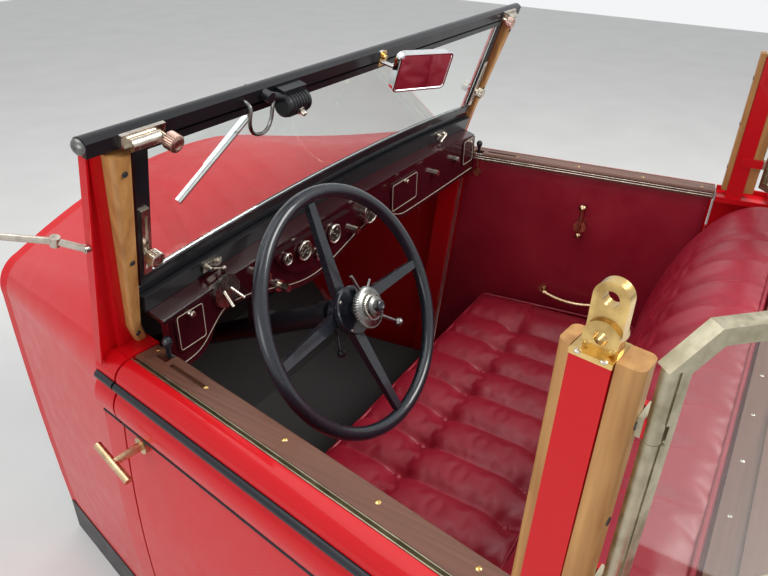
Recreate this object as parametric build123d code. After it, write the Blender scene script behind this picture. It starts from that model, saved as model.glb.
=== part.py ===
from build123d import *
import math
import os

# Front compartment of a vintage open touring car: scuttle, raked opening windscreen, two doors
# hung at their rear edges, dash, steering, bench seat and the partition behind it.
# Millimetres. +X is the car's left, +Y its rear, +Z up. The origin is midway between the four
# body bolts, on the underside of the cross members.

# Body side in plan: a straight line from the front pillar to the centre pillar
belt_z = 860.0          # top of the door capping above the underside
front_half = 652.0      # half width of the skin at the front line
front_line_y = -60.0
rear_half = 752.0       # half width of the skin one side run further back
side_run = 700.0
sill_z = 100.0          # top of the sill, under the doors
shut_gap = 5.0          # gap around a door
seat_gap = 0.3          # gap between pieces that are seated on each other

# Door and body side section
wall = 62.0             # outer skin to the inner face of the framing
lining = 12.0           # leather lining
rail_thick = 14.0       # brown capping rail
rail_in = 88.0          # inner edge of the rail, from the skin
channel_in = 44.0       # brass window channel, from the skin
roll_in = 35.0          # inner edge of the rolled top
roll_r = 31.0
strip_drop = 33.0       # top of the black strip below the belt
strip_tall = 22.0
strip_depth = 5.0
band_drop = 118.0       # lower edge of the lower moulding below the belt
band_proud = 6.0
tuck = 38.0             # how far the bottom of the side tucks in

# Doors
door_front = 30.0       # along the side from the front line, at the belt
door_rear = 692.0
door_slant = 0.09       # forward lean of the front shut line per unit of drop
quarter_end = 960.0     # end of the body side behind the centre pillar
hinge_proud = 13.0      # hinge axis outside the skin
notch_front = 24.0      # notch in the door's capping for the lock lever, behind its front end
notch_long = 26.0
notch_deep = 24.0
pin_r = 5.0
pin_play = 0.05
knuckle_r = 9.0
knuckle_tall = 26.0
knuckle_gap = 0.4
leaf_thick = 2.2
leaf_wide = 40.0
hinge_zs = (200.0, 440.0, 680.0)

# Windscreen and pillars. A pillar line is its distance inside the front line's skin at belt
# height, and how far it leans out per unit up the screen.
screen_foot_y = -65.0   # screen plane at belt height
screen_rake = 16.1
pillar_lines = {
    "outer": (5.0, 0.064),
    "step": (41.0, 0.146),
    "strip_out": (59.0, 0.150),
    "strip_in": (78.0, 0.115),
    "inner": (81.0, 0.100),
}
wiper_x = 357.0
pillar_front = 22.0
pillar_edge = 14.0      # depth of the pillar's thin outer edge
groove = 9.0
screen_axis = 366.0     # hinge axis of the opening screen, up the screen
axis_reach = 8.0        # how far the top of its frame swings above the axis
header_low = screen_axis + axis_reach + 5.5
header_tall = 22.0
header_front = 14.0
header_back = 12.0
header_over = 6.0       # the header stands past the pillars
base_low = 69.0         # base bar at its ends, up the screen
base_high = 110.0
arch = 28.0             # rise of the base bar at the middle
frame_top = screen_axis + 5.0
frame_bar = 20.0        # bottom rail of the opening screen
frame_head = 12.0       # its top rail
frame_side = 24.0       # its side rails
frame_half = 6.0
glass_half = 2.5
trunnion_r = 4.0

# Scuttle sections. Inset is from the half width; the others are (inset, height) points up the side.
nose_half = 520.0
scuttle_rows = (
    {"y": -550.0, "half": nose_half, "foot": 14.0, "waist": 2.0, "side": (0.0, 740.0),
     "shoulder_mid": (13.0, 792.0), "shoulder": (55.0, 820.0), "slope_mid": (200.0, 872.0),
     "slope": (360.0, 911.0), "crown": 921.0},
    {"y": -50.0, "half": front_half + 2.0, "foot": 38.0, "waist": 10.0, "side": (0.0, 790.0),
     "shoulder_mid": (14.0, 868.0), "shoulder": (80.0, 926.0), "slope_mid": (254.0, 939.5),
     "slope": (454.0, 949.5), "crown": 953.0},
)
scuttle_wall = 8.0
ledge_drop = 4.0
ledge_deep = 30.0
bulkhead_thick = 12.0
bulkhead_back = 8.0     # rear face of the bulkhead in front of the scuttle's front edge

# Floor
floor_z = 118.0
floor_thick = 12.0
toe_y = -400.0
toe_top_z = 330.0
floor_end = 814.0
cross_ys = (-420.0, 0.0, 420.0, 800.0)
cross_wide = 80.0
steel = 6.0
bolt_x = 380.0
bolt_y = 420.0
bolt_r = 6.5

# Dash
dash_y = 0.0
dash_half_thick = 8.0
dash_gap = 10.0         # between the dash and the pillars
dash_low = 808.0
oval_x = 189.0
oval_half = 125.0
oval_z = 917.0
oval_drop = 76.0

# Steering
wheel_centre = (335.0, 209.2, 881.4)
wheel_tilt = 27.6       # lean of the wheel's plane
rim_r = 209.5
rim_tube = 12.2
hub_plate_r = 41.0
hub_plate_thick = 12.0
hub_r = 30.0
hub_low = 34.0          # underside of the hub below the plane of the rim
spoke_wide = 24.0
spoke_tip = 15.0
shaft_r = 11.0
shaft_end_r = 9.0       # turned-down end that takes the coupling
shaft_end_long = 40.0
shaft_play = 0.05
tube_r = 6.0
jacket_r = 21.0
column_long = 895.0     # wheel centre to the bottom of the jacket
shaft_end = 960.0

# Seat and partition
seat_front = 62.0
seat_back_y = 548.0
cushion_top = 432.0
cushion_low = 290.0
seat_side = 90.0        # from the skin to the edge of the cushion and squab
partition_y = 815.0
partition_thick = 70.0

# Centre posts and hinged glass wings
post_y = 737.0          # centre of the post along the side
post_half = 19.0
post_out = -42.0
post_in = -80.0
post_tall = 333.0
post_lean_top = 14.0
front_strip = 12.0      # thickness of the strip on the front of the post
rear_strip = 23.0
strip_over = 6.0        # the strips stand above the post
wing_axis_in = -76.0    # from the skin
wing_axis_back = post_half + rear_strip + 14.0  # behind the centre of the post
wing_low = 22.0         # above the belt
wing_high = 380.0
wing_wide = 330.0
wing_bar = 16.0
wing_tube_r = 7.5       # upright of the wing, round its pivots
wing_flange = 17.0      # edge of the flange along it
wing_turn = 45.0        # inward from straight back, as it rests
wing_pin_r = 3.0
wing_pin_play = 0.09
wing_pin_long = 12.0
wing_corner = 36.0      # cut-off upper front corner
wing_eye_r = 7.0        # eyes of the post's arms, between lengths of the upright
wing_eye_half = 10.0
wing_pin_zs = (wing_low + 60, wing_high - 100)

side_turn = math.degrees(math.atan2(rear_half - front_half, side_run))
SIDE = Location((front_half, front_line_y, 0), (0, 0, -side_turn))
SCREEN = Location((0, screen_foot_y, belt_z), (-screen_rake, 0, 0))
COLUMN = Location(wheel_centre, (-(90 - wheel_tilt), 0, 0))


# Helpers
def outline(start, *steps):
    """A closed flat outline. A step is an end point, or (middle, end) for an arc."""
    edges = []
    here = start
    for step in steps:
        if isinstance(step[0], tuple):
            middle, end = step
            edges.append(ThreePointArc(here, middle, end))
        else:
            end = step
            edges.append(Line(here, end))
        here = end
    if here != start:
        edges.append(Line(here, start))
    return make_face(edges)


def along_x(face, x0, x1):
    """Runs an outline drawn in Y and Z from x0 to x1."""
    plane = Plane(origin=(x0, 0, 0), x_dir=(0, 1, 0), z_dir=(1, 0, 0))
    return extrude(plane * face, amount=x1 - x0)


def along_y(face, y0, y1):
    """Runs an outline drawn in X and Z from y0 to y1."""
    plane = Plane(origin=(0, y1, 0), x_dir=(1, 0, 0), z_dir=(0, -1, 0))
    return extrude(plane * face, amount=y1 - y0)


def along_z(face, z0, z1):
    """Runs an outline drawn in X and Y from z0 to z1."""
    return extrude(Pos(0, 0, z0) * face, amount=z1 - z0)


def block(x0, x1, y0, y1, z0, z1):
    return Pos((x0 + x1) / 2, (y0 + y1) / 2, (z0 + z1) / 2) * Box(x1 - x0, y1 - y0, z1 - z0)


def rod(start, end, radius):
    """A round bar from one point to another."""
    a, b = Vector(*start), Vector(*end)
    plane = Plane(origin=a, z_dir=b - a)
    return extrude(plane * Circle(radius), amount=(b - a).length)


def right_hand(piece):
    return mirror(piece, about=Plane.YZ)


def keep_one(piece):
    """The single solid of a piece that was built by fusing."""
    solids = piece.solids()
    assert len(solids) == 1, len(solids)
    return solids[0]


def front_shut(z, offset=0.0):
    """Where the front shut line of the door lies along the side, at a height."""
    return door_front - door_slant * (belt_z - z) + offset


def side_section(inner, base_z):
    """Section of a door or body side: rolled top, strip recess, moulding and tucked-in panel."""
    seat = belt_z - rail_thick
    roll_z = belt_z - 2.0
    centre_z = roll_z - roll_r
    bend = roll_r * math.sqrt(0.5)
    edge = -roll_in + roll_r
    strip_top = belt_z - strip_drop
    strip_low = strip_top - strip_tall
    band_low = belt_z - band_drop
    return outline(
        (-inner, base_z),
        (-inner, seat),
        (-roll_in, seat),
        (-roll_in, roll_z),
        ((-roll_in + bend, centre_z + bend), (edge, strip_top)),
        (edge - strip_depth, strip_top),
        (edge - strip_depth, strip_low),
        (edge, strip_low),
        ((band_proud, (strip_low + band_low) / 2), (edge, band_low)),
        (edge - 3.0, band_low),
        ((-9.0, (band_low + base_z) / 2), (-tuck, base_z)),
    )


# Doors
def door_view(grow_front, rear, base_z, top_z):
    """Side view of the door, between its slanted front edge and its upright rear edge."""
    return outline(
        (front_shut(top_z, grow_front), top_z),
        (rear, top_z),
        (rear, base_z),
        (front_shut(base_z, grow_front), base_z),
    )


def door_panel():
    base_z = sill_z + shut_gap
    blank = along_y(side_section(wall, base_z), -120, door_rear)
    panel = blank & along_x(door_view(0, door_rear, base_z, belt_z + 10), -120, 60)
    for z in hinge_zs:
        panel -= leaf_seat(z, door_rear - leaf_thick, door_rear + 1)
    return keep_one(panel)


def door_lining():
    base_z = sill_z + 30
    face = door_view(6, door_rear - 6, base_z, belt_z - rail_thick - seat_gap)
    pad = along_x(face, -wall - lining, -wall - seat_gap)
    return keep_one(fillet(pad.faces().sort_by(Axis.X)[0].edges(), 4))


def door_rail():
    """Brown capping: flat top with ribs along its inner edge and a slot near the front."""
    seat = belt_z - rail_thick + seat_gap
    section = outline(
        (-rail_in + 6, seat - 10),
        (-rail_in + 6, seat - 6),
        (-rail_in, seat - 6),
        (-rail_in, seat + 2),
        (-rail_in + 4, seat + 2),
        (-rail_in + 4, seat + 6),
        (-rail_in, seat + 6),
        ((-rail_in + 1, belt_z - 2), (-rail_in + 4, belt_z)),
        (-channel_in - seat_gap, belt_z),
        (-channel_in - seat_gap, seat),
        (-wall - lining - seat_gap, seat),
        (-wall - lining - seat_gap, seat - 10),
    )
    rail = along_y(section, front_shut(belt_z), door_rear)
    front = front_shut(belt_z)
    slot = along_z(Pos(-66, front + 105) * Rot(0, 0, 90) * SlotOverall(90, 9), belt_z - 6, belt_z + 1)
    notch = block(-rail_in - 1, -rail_in + notch_deep, front + notch_front, front + notch_front + notch_long,
                  seat - 15, belt_z + 1)
    return keep_one(rail - slot - notch)


def door_channel():
    """Brass channel for the window glass, between the capping and the rolled top."""
    seat = belt_z - rail_thick + seat_gap
    a = -channel_in
    b = -roll_in - seat_gap
    section = outline((a, seat), (a, belt_z - 1), (a + 1.6, belt_z - 1), (a + 1.6, seat + 2),
                      (b - 1.6, seat + 2), (b - 1.6, belt_z - 1), (b, belt_z - 1), (b, seat))
    return keep_one(along_y(section, front_shut(belt_z), door_rear))


def leaf_seat(z, y0, y1):
    """Space for a hinge leaf in the edge of a door or pillar."""
    half = knuckle_tall * 1.5 + knuckle_gap + 1
    return block(-leaf_wide - 1, 40, y0, y1, z - half, z + half)


def hinge_y():
    return door_rear + shut_gap / 2


def door_hinges():
    """Door half of each hinge: a leaf on the door's edge and the middle knuckle."""
    hinges = Part()
    for z in hinge_zs:
        half = knuckle_tall / 2 - knuckle_gap / 2
        leaf = block(-leaf_wide, hinge_proud, door_rear - leaf_thick + seat_gap, door_rear + 1.0, z - half, z + half)
        knuckle = Pos(hinge_proud, hinge_y(), z) * Cylinder(knuckle_r, 2 * half)
        bore = Pos(hinge_proud, hinge_y(), z) * Cylinder(pin_r + pin_play, 2 * half + 4)
        hinges += (leaf + knuckle) - bore
    return hinges


def pillar_hinges():
    """Pillar half of each hinge: a leaf, the outer knuckles and the pin through them."""
    pieces = []
    face = door_rear + shut_gap
    for z in hinge_zs:
        low = z - knuckle_tall * 1.5
        for bottom in (low, low + 2 * knuckle_tall):
            middle = bottom + knuckle_tall / 2
            pieces.append(Pos(hinge_proud, hinge_y(), middle) * Cylinder(knuckle_r, knuckle_tall - knuckle_gap / 2))
            pieces.append(block(-leaf_wide, hinge_proud, face - 1.5, face + leaf_thick,
                                bottom + knuckle_gap / 4, bottom + knuckle_tall - knuckle_gap / 4))
        pieces.append(block(-leaf_wide, -6, face, face + leaf_thick, low, low + 3 * knuckle_tall))
        pieces.append(Pos(hinge_proud, hinge_y(), z) * Cylinder(pin_r, knuckle_tall * 3.4))
    return pieces


def arc_bar(middle, sag_way, half, sag, radius):
    """Round bar bent to an arc along the side; its middle lies at a point, its ends are set back from it."""
    way = sag_way.normalized()
    bend = (half ** 2 + sag ** 2) / (2 * sag)
    centre = middle - way * bend
    spread = math.asin(half / bend)
    start = centre + way * (bend * math.cos(spread)) - Vector(0, bend * math.sin(spread), 0)
    tangent = way * math.sin(spread) + Vector(0, math.cos(spread), 0)
    axis = Axis(centre, way.cross(Vector(0, 1, 0)))
    section = Plane(origin=start, z_dir=tangent) * Circle(radius)
    return revolve(section, axis=axis, revolution_arc=math.degrees(2 * spread))


def door_fittings():
    """Outer T handle, inner crank handle and pull bar."""
    y, z = 74.0, belt_z - band_drop - 16
    outer = -3.6
    stem = Pos(outer + 26, y, z) * Rot(0, 90, 0) * Cone(8, 6, 56)
    rose = rod((outer - 2, y, z), (outer + 5, y, z), 15)
    bar = rod((outer + 54, y - 40, z + 13), (outer + 54, y + 40, z - 13), 6.5)
    handle = keep_one(stem + rose + bar)
    face = -wall - lining - seat_gap
    y, z = 380.0, belt_z - 165
    boss = rod((face, y, z), (face - 20, y, z), 17)
    arm = rod((face - 16, y, z - 26), (face - 16, y, z + 60), 6)
    knob = Pos(face - 26, y, z + 60) * Sphere(11)
    tail = Pos(face - 16, y, z - 28) * Sphere(10)
    crank = keep_one(boss + arm + knob + tail)
    y0, y1, z = 305.0, 492.0, belt_z - 392
    middle = Vector(face - 31, (y0 + y1) / 2, z - 13)
    pull = arc_bar(middle, Vector(-9, 0, -11), (y1 - y0) / 2 - 10, 14, 6)
    for end, inward in ((y0, 10), (y1, -10)):
        pull += rod((face - 3, end, z), (face - 24, end + inward, z - 2.5), 5)
        pull += rod((face - 22, end + inward - 5, z - 2), (face - 22, end + inward + 5, z - 2), 8)
        pull += rod((face, end, z), (face - 5, end, z), 13)
    y = front_shut(belt_z) + notch_front + notch_long / 2
    low = belt_z - 60
    lever = rod((face, y, low), (face - 6, y, low), 11) + rod((face - 6, y, low), (face - 6, y, belt_z + 22), 3)
    lever += Pos(face - 6, y, belt_z + 24) * Sphere(8)
    return Part() + [handle, crank, keep_one(pull), keep_one(lever)]


# Body sides
def quarter_panel():
    """Lower centre pillar with the short body side behind it and the capping on both."""
    front = door_rear + shut_gap
    seat = belt_z - rail_thick
    panel = along_y(side_section(wall, sill_z + seat_gap), front, quarter_end)
    panel += block(-rail_in, -roll_in, front, quarter_end, seat - 14, seat)
    panel += block(-rail_in, -roll_in, post_y + post_half + rear_strip + 36, quarter_end, seat - 1, belt_z)
    for z in hinge_zs:
        panel -= leaf_seat(z, front - 1, front + leaf_thick)
    for piece in pillar_hinges():
        panel += piece
    return keep_one(panel)


def post_lean(z):
    """How far the centre post has leaned inward at a height above the belt."""
    return post_lean_top * z / post_tall


def upper_post():
    """Red centre post above the belt, leaning inward, with the pins that carry the wing."""
    foot = belt_z - rail_thick + seat_gap
    low = Pos(0, 0, foot) * make_face(Polyline(
        (post_in, post_y - post_half), (post_out, post_y - post_half),
        (post_out, post_y + post_half), (post_in, post_y + post_half), close=True))
    high = Pos(-post_lean_top, 0, belt_z + post_tall) * make_face(Polyline(
        (post_in + 1, post_y - post_half + 1), (post_out, post_y - post_half + 1),
        (post_out, post_y + post_half - 1), (post_in + 1, post_y + post_half - 1), close=True))
    post = loft([low, high])
    y = post_y + wing_axis_back
    strip_back = post_y + post_half + rear_strip + 2 * seat_gap
    for z in wing_pin_zs:
        z0, z1 = belt_z + z - wing_eye_half, belt_z + z + wing_eye_half
        x = post_in - post_lean(z) - 5
        post += block(x, x + 7.5, post_y - 6, strip_back + 5, z0, z1)
        post += block(x, wing_axis_in + 4, strip_back, strip_back + 5, z0, z1)
        post += block(wing_axis_in - 4, wing_axis_in + 4, strip_back, y - wing_eye_r + 2, z0, z1)
        post += Pos(wing_axis_in, y, belt_z + z) * Cylinder(wing_eye_r, 2 * wing_eye_half)
        post += Pos(wing_axis_in, y, belt_z + z) * Cylinder(wing_pin_r, 2 * (wing_eye_half + wing_pin_long))
    return keep_one(post)


def post_strips():
    """Tan strips on the front and rear faces of the centre post."""
    pieces = []
    for sign, thick in ((-1, front_strip), (1, rear_strip)):
        face = post_y + sign * (post_half + seat_gap)
        back = face + sign * thick
        ends = []
        for z in (2, post_tall + strip_over):
            a, b = post_in + 3 - post_lean(z), post_out - 3 - post_lean(z)
            ends.append(Pos(0, 0, belt_z + z) * make_face(Polyline((a, face), (b, face), (b, back), (a, back), close=True)))
        strip = loft(ends)
        upright = [edge for edge in strip.edges() if edge.length > 200 and abs(edge.center().Y - back) < 2]
        strip = fillet(upright, min(8, thick * 0.6))
        pieces.append(keep_one(strip))
    return pieces


def post_lug():
    """Top plate and two-hole lug on the centre post."""
    top = belt_z + post_tall + seat_gap
    x = (post_in + post_out) / 2 - 12
    half = post_half - seat_gap
    plate = block(x - 20, x + 18, post_y - half, post_y + half, top, top + 5)
    y = post_y + 2
    lug = outline((y - 15, top + 4), (y - 15, top + 52), ((y, top + 67), (y + 15, top + 52)), (y + 15, top + 4))
    ear = along_x(lug, x - 7, x + 5)
    boss = rod((x - 11, y, top + 18), (x + 9, y, top + 18), 15.5)
    holes = rod((x - 20, y, top + 18), (x + 20, y, top + 18), 6)
    holes += rod((x - 20, y, top + 52), (x + 20, y, top + 52), 7)
    return keep_one(plate + ear + boss - holes)


# Front pillars and windscreen surround
def pillar_x(line, v):
    """Where a line of the front pillar lies across the car, at a distance up the screen."""
    inset, slope = pillar_lines[line]
    return front_half - inset + slope * v


def pillar_inner(v):
    return pillar_x("inner", v)


def pillar_section(v):
    """Section of the upper front pillar: a thin outer edge, a deep groove, and the seat of the strip."""
    outer, step, inner = pillar_x("outer", v), pillar_x("step", v), pillar_x("inner", v)
    lip = outer - 3
    return Pos(0, 0, v) * make_face(Polyline(
        (inner, -pillar_front), (lip - 12, -pillar_front), (outer, -pillar_edge), (outer, 0), (lip, 0),
        (lip, -groove), (min(step, lip - 2), -groove), (min(step, lip - 2), 0), (inner, 0), close=True))


def front_pillar():
    """Lower post between scuttle and door, and the slender raked post above it."""
    low = sill_z + seat_gap
    seat = belt_z - rail_thick
    inner = rail_in + 2
    blank = along_y(side_section(inner, low), -160, 60)
    view = outline(
        (front_shut(belt_z + 10, -60), belt_z + 10),
        (front_shut(belt_z + 10, -shut_gap), belt_z + 10),
        (front_shut(low, -shut_gap), low),
        (front_shut(low, -60), low),
    )
    lower = SIDE * (blank & along_x(view, -120, 60))
    cap = SIDE * block(-inner, -roll_in, front_shut(belt_z, -58), front_shut(belt_z, -shut_gap), seat - 1, belt_z)
    top = header_low - seat_gap
    upper = SCREEN * loft([pillar_section(-16), pillar_section(top)])
    face = pillar_inner(screen_axis)
    bore = SCREEN * rod((face - 5, 0, screen_axis), (face + 16, 0, screen_axis), trunnion_r + pin_play)
    return keep_one(lower + cap + upper - bore)


def pillar_strip():
    """Rounded tan strip on the rear face of the front pillar, turned in at its foot."""
    ends = []
    for v, inward, deep, rounding in ((-24, 16, 14, 5), (40, 0, 14, 5), (header_low - 7, 0, 22, 8)):
        a, b = pillar_x("strip_in", v) - inward, pillar_x("strip_out", v) - inward
        face = fillet(make_face(Polyline((a, seat_gap), (b, seat_gap), (b, deep), (a, deep), close=True))
                      .vertices().sort_by(Axis.Y)[-2:], rounding)
        ends.append(Pos(0, 0, v) * face)
    strip = SCREEN * loft(ends, ruled=True)
    return keep_one(strip - block(400, 800, -160, 100, belt_z - 80, belt_z + seat_gap))


def arch_bar(low, high, y0, y1, gap):
    """A bar across the screen, arched by the same rise as the scuttle."""
    a = pillar_inner(low) - gap
    b = pillar_inner(high) - gap
    face = outline((-a, low), ((0, low + arch), (a, low)), (b, high), ((0, high + arch), (-b, high)))
    return along_y(face, y0, y1)


def base_bar():
    """Black bar on the scuttle, with two grooves along its top."""
    bar = arch_bar(base_low, base_high, -pillar_front - 2 + seat_gap, -8, seat_gap)
    bar += arch_bar(base_low, base_high - 7, -8, -3, seat_gap)
    bar += arch_bar(base_low, base_high - 3, -3, 8, seat_gap)
    bar += arch_bar(base_low, base_high - 12, 8, 12, seat_gap)
    bar += arch_bar(base_low, base_high - 8, 12, 19, seat_gap)
    return keep_one(SCREEN * bar)


def header_bar():
    """Black top rail of the windscreen surround, with a weather lip in front of the screen."""
    low, high = header_low, header_low + header_tall
    front, back = -header_front, header_back
    section = outline((front, screen_axis + 3), (front, high - 8), ((front + 4, high - 2), (back - 5, high)),
                      (back, high - 2), (back, low), (front + 1.5, low), (front + 1.5, screen_axis + 3))
    half = pillar_x("outer", high) + header_over
    bar = along_x(section, -half, half)
    reach = pillar_inner(low) - seat_gap
    for sign in (-1, 1):
        x0, x1 = sorted((sign * reach, sign * (half + 5)))
        bar -= block(x0, x1, front - 5, back + 5, screen_axis, low)
    return keep_one(SCREEN * bar)


def screen_outline(bottom, top, side):
    """Outline of the opening screen in X and up the screen, set in by its rails."""
    low = base_high + shut_gap + bottom
    high = frame_top - top
    a = pillar_inner(low) - shut_gap - side
    b = pillar_inner(high) - shut_gap - side
    return outline((-a, low), ((0, low + arch), (a, low)), (b, high), (-b, high))


def screen_frame():
    ring = along_y(screen_outline(0, 0, 0), -frame_half, frame_half)
    ring -= along_y(screen_outline(frame_bar, frame_head, frame_side), -frame_half - 1, frame_half + 1)
    face = pillar_inner(screen_axis)
    for sign in (-1, 1):
        ring += rod((sign * (face - shut_gap - 8), 0, screen_axis), (sign * (face + 12), 0, screen_axis), trunnion_r)
    return keep_one(SCREEN * ring)


def screen_glass():
    pane = screen_outline(frame_bar + seat_gap, frame_head + seat_gap, frame_side + seat_gap)
    return keep_one(SCREEN * along_y(pane, -glass_half, glass_half))


def wiper_motor():
    """Motor behind the header bar, with the spindle's boss in front of it."""
    x, v = wiper_x, header_low + header_tall / 2
    face = header_back + seat_gap
    body = Pos(x - 56, face + 18, v - 20) * Rot(0, 90, 0) * Cylinder(18, 58)
    body = fillet(body.edges().filter_by(GeomType.CIRCLE), 5)
    body += block(x - 84, x - 26, face, face + 18, v - 12, v + 6)
    body += rod((x - 30, face + 14, v - 6), (x - 4, face + 9, v), 7) + rod((x, face, v), (x, face + 16, v), 9)
    front = -header_front - seat_gap
    low = header_low + 5
    boss = rod((x, front, low), (x, front - 6, low), 7) + rod((x, front - 5, low), (x, front - 11, low), 5)
    return SCREEN * (Part() + [keep_one(body), boss])


def wiper_blade():
    """Blade lying on the glass, with its arm along it."""
    glass = -glass_half - seat_gap
    head, tip = (wiper_x, screen_axis - 16), (wiper_x + 144, screen_axis - 129)
    way = Vector(tip[0] - head[0], 0, tip[1] - head[1]).normalized()
    clear = Vector(head[0], 0, head[1]) + way * 10
    edge = rod((clear.X, glass - 4, clear.Z), (tip[0], glass - 4, tip[1]), 4)
    arm = rod((head[0], glass - 11, head[1]), (tip[0] - way.X * 70, glass - 10, tip[1] - way.Z * 70), 4)
    return keep_one(SCREEN * (edge + arm))


def header_brackets():
    """Brackets on the header at the tops of the pillars, with a barrel and a knurled knob."""
    back = header_back + seat_gap
    v = header_low + header_tall / 2
    x = pillar_x("strip_in", v)
    plate = block(x - 58, x + 14, back, back + 6, v - 9, v + 10)
    barrel = rod((x - 42, back + 9, v - 4), (x + 4, back + 9, v - 4), 9)
    knob = rod((x - 54, back + 4, v - 8), (x - 54, back + 20, v - 8), 5)
    knob += rod((x - 54, back + 18, v - 8), (x - 54, back + 32, v - 8), 12)
    left = keep_one(SCREEN * (plate + barrel + knob))
    return Part() + [left, right_hand(left)]


def screen_clamps():
    """Slotted slide plates and clamping knobs on the side rails of the opening screen."""
    v0, v1, v = 140.0, 264.0, 182.0
    back = frame_half + seat_gap
    reach = shut_gap + frame_side / 2
    lean = math.degrees(math.atan(pillar_lines["inner"][1]))
    plate = Box(15, 4, v1 - v0) - Pos(0, 1, 0) * Box(6, 4, v1 - v0 - 24)
    middle = (v0 + v1) / 2
    plate = Pos(pillar_inner(middle) - reach, back + 2, middle) * Rot(0, lean, 0) * plate
    x = pillar_inner(v) - reach
    knob = rod((x, back + 1, v), (x, back + 14, v), 6) + rod((x, back + 12, v), (x, back + 26, v), 12)
    left = keep_one(SCREEN * (plate + knob))
    return Part() + [left, right_hand(left)]


def inner_mirror():
    """Rear-view mirror on a clamp round the header bar, turned toward the driver."""
    back = header_back + seat_gap
    v = header_low + header_tall / 2
    clamp = block(16, 30, back, back + 6, v - 14, v + 11)
    stem = rod((23, back + 3, v - 8), (0, back + 44, v - 14), 4)
    shell = Pos(-52, back + 52, v - 17) * Rot(-90, 0, 0) * Rot(0, 18, 0)
    shell *= extrude(RectangleRounded(142, 78, 16), amount=14)
    return keep_one(SCREEN * (clamp + stem + shell))


def outer_mirror():
    """Round mirror on an arm that runs forward and outward from the near pillar."""
    v = 225.0
    x = pillar_x("outer", v)
    root = (x + 2 * seat_gap, -pillar_edge / 2, v)
    knee = (x + 30, -36, v + 7)
    head = (x + 165, -165, v + 13)
    rose = rod(root, (x + 8, -pillar_edge / 2, v), 6)
    arm = rod((x + 5, -pillar_edge / 2, v), knee, 5) + rod(knee, head, 5) + Pos(*knee) * Cylinder(7, 14)
    shell = Pos(*head) * Rot(90, 0, 20) * Cylinder(48, 16)
    return keep_one(SCREEN * (arm + rose + shell))


# Scuttle, bulkhead and floor
def scuttle_face(row, inset, base_z):
    """Section of the scuttle at one place along the car, set in evenly from its skin."""
    half, k = row["half"], inset

    def at(name, side, down):
        x, z = row[name]
        return (half - x - side * k, z - down * k)

    def left(point):
        return (-point[0], point[1])

    foot = (half - row["foot"] - k, base_z)
    waist = (half - row["waist"] - k, (row["side"][1] + base_z) / 2)
    side = at("side", 1, 0)
    shoulder_mid, shoulder = at("shoulder_mid", 0.8, 0.6), at("shoulder", 0.3, 0.95)
    slope_mid, slope = at("slope_mid", 0.2, 1), at("slope", 0, 1)
    face = outline(
        left(foot), (left(waist), left(side)), (left(shoulder_mid), left(shoulder)),
        (left(slope_mid), left(slope)), ((0, row["crown"] - k), slope), (slope_mid, shoulder),
        (shoulder_mid, side), (waist, foot),
    )
    return Plane(origin=(0, row["y"], 0), x_dir=(1, 0, 0), z_dir=(0, -1, 0)) * face


def nose_foot():
    """Half width of the scuttle's foot at its front edge, behind the ledge."""
    return nose_half - scuttle_rows[0]["foot"] - ledge_drop


def scuttle_panel():
    base_z = sill_z + seat_gap
    outer = loft([scuttle_face(row, 0, base_z) for row in scuttle_rows])
    inner = loft([scuttle_face(row, scuttle_wall, base_z) for row in scuttle_rows])
    rake = math.tan(math.radians(screen_rake))
    plane_y = screen_foot_y - (pillar_front + 2) / math.cos(math.radians(screen_rake))
    low_y = front_line_y + front_shut(base_z - 30, -60) - seat_gap
    cutter = along_x(outline((plane_y, belt_z), (plane_y + rake * 200, belt_z + 200), (300, belt_z + 200),
                             (300, base_z - 30), (low_y, base_z - 30)), -800, 800)
    front = scuttle_rows[0]
    ring = extrude(scuttle_face(front, ledge_drop, base_z), amount=ledge_deep)
    ring -= extrude(scuttle_face(front, ledge_drop + scuttle_wall, base_z), amount=ledge_deep)
    back = extrude(scuttle_face(front, ledge_drop, base_z), amount=-6)
    back -= extrude(scuttle_face(front, ledge_drop + scuttle_wall, base_z), amount=-6)
    return keep_one((outer - inner - cutter) + ring + back)


def bulkhead():
    front = scuttle_rows[0]
    face = scuttle_face(front, ledge_drop + scuttle_wall + seat_gap, sill_z + seat_gap)
    plate = Pos(0, -bulkhead_back, 0) * extrude(face, amount=bulkhead_thick)
    hole = COLUMN * rod((0, 0, -500), (0, 0, -1100), jacket_r + seat_gap)
    return keep_one(plate - hole)


def toe_outline(lift):
    """Side view of the floor and its toe board, raised by a little."""
    low = floor_z + seat_gap + lift
    high = floor_z + floor_thick + lift
    return outline(
        (toe_y, low), (floor_end, low), (floor_end, high), (toe_y + 4, high),
        (toe_top_y() + 9, toe_top_z + lift), (toe_top_y(), toe_top_z - 4 + lift),
    )


def toe_top_y():
    """The toe board ends against the bulkhead."""
    return scuttle_rows[0]["y"] - bulkhead_back + seat_gap


def floor_boards():
    """Boards with a sloping toe board in front."""
    inset = rail_in + 6
    top = toe_top_y()
    nose = nose_foot() - scuttle_wall - 6
    plan = make_face(Polyline(
        (-nose, top - 5), (nose, top - 5), (inner_half(-90, inset), -90), (inner_half(floor_end, inset), floor_end + 5),
        (-inner_half(floor_end, inset), floor_end + 5), (-inner_half(-90, inset), -90), close=True))
    return keep_one(along_x(toe_outline(0), -800, 800) & along_z(plan, 0, 600))


sill_deep = 60.0
sill_out = tuck + 6     # outer face of the sill from the skin


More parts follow.
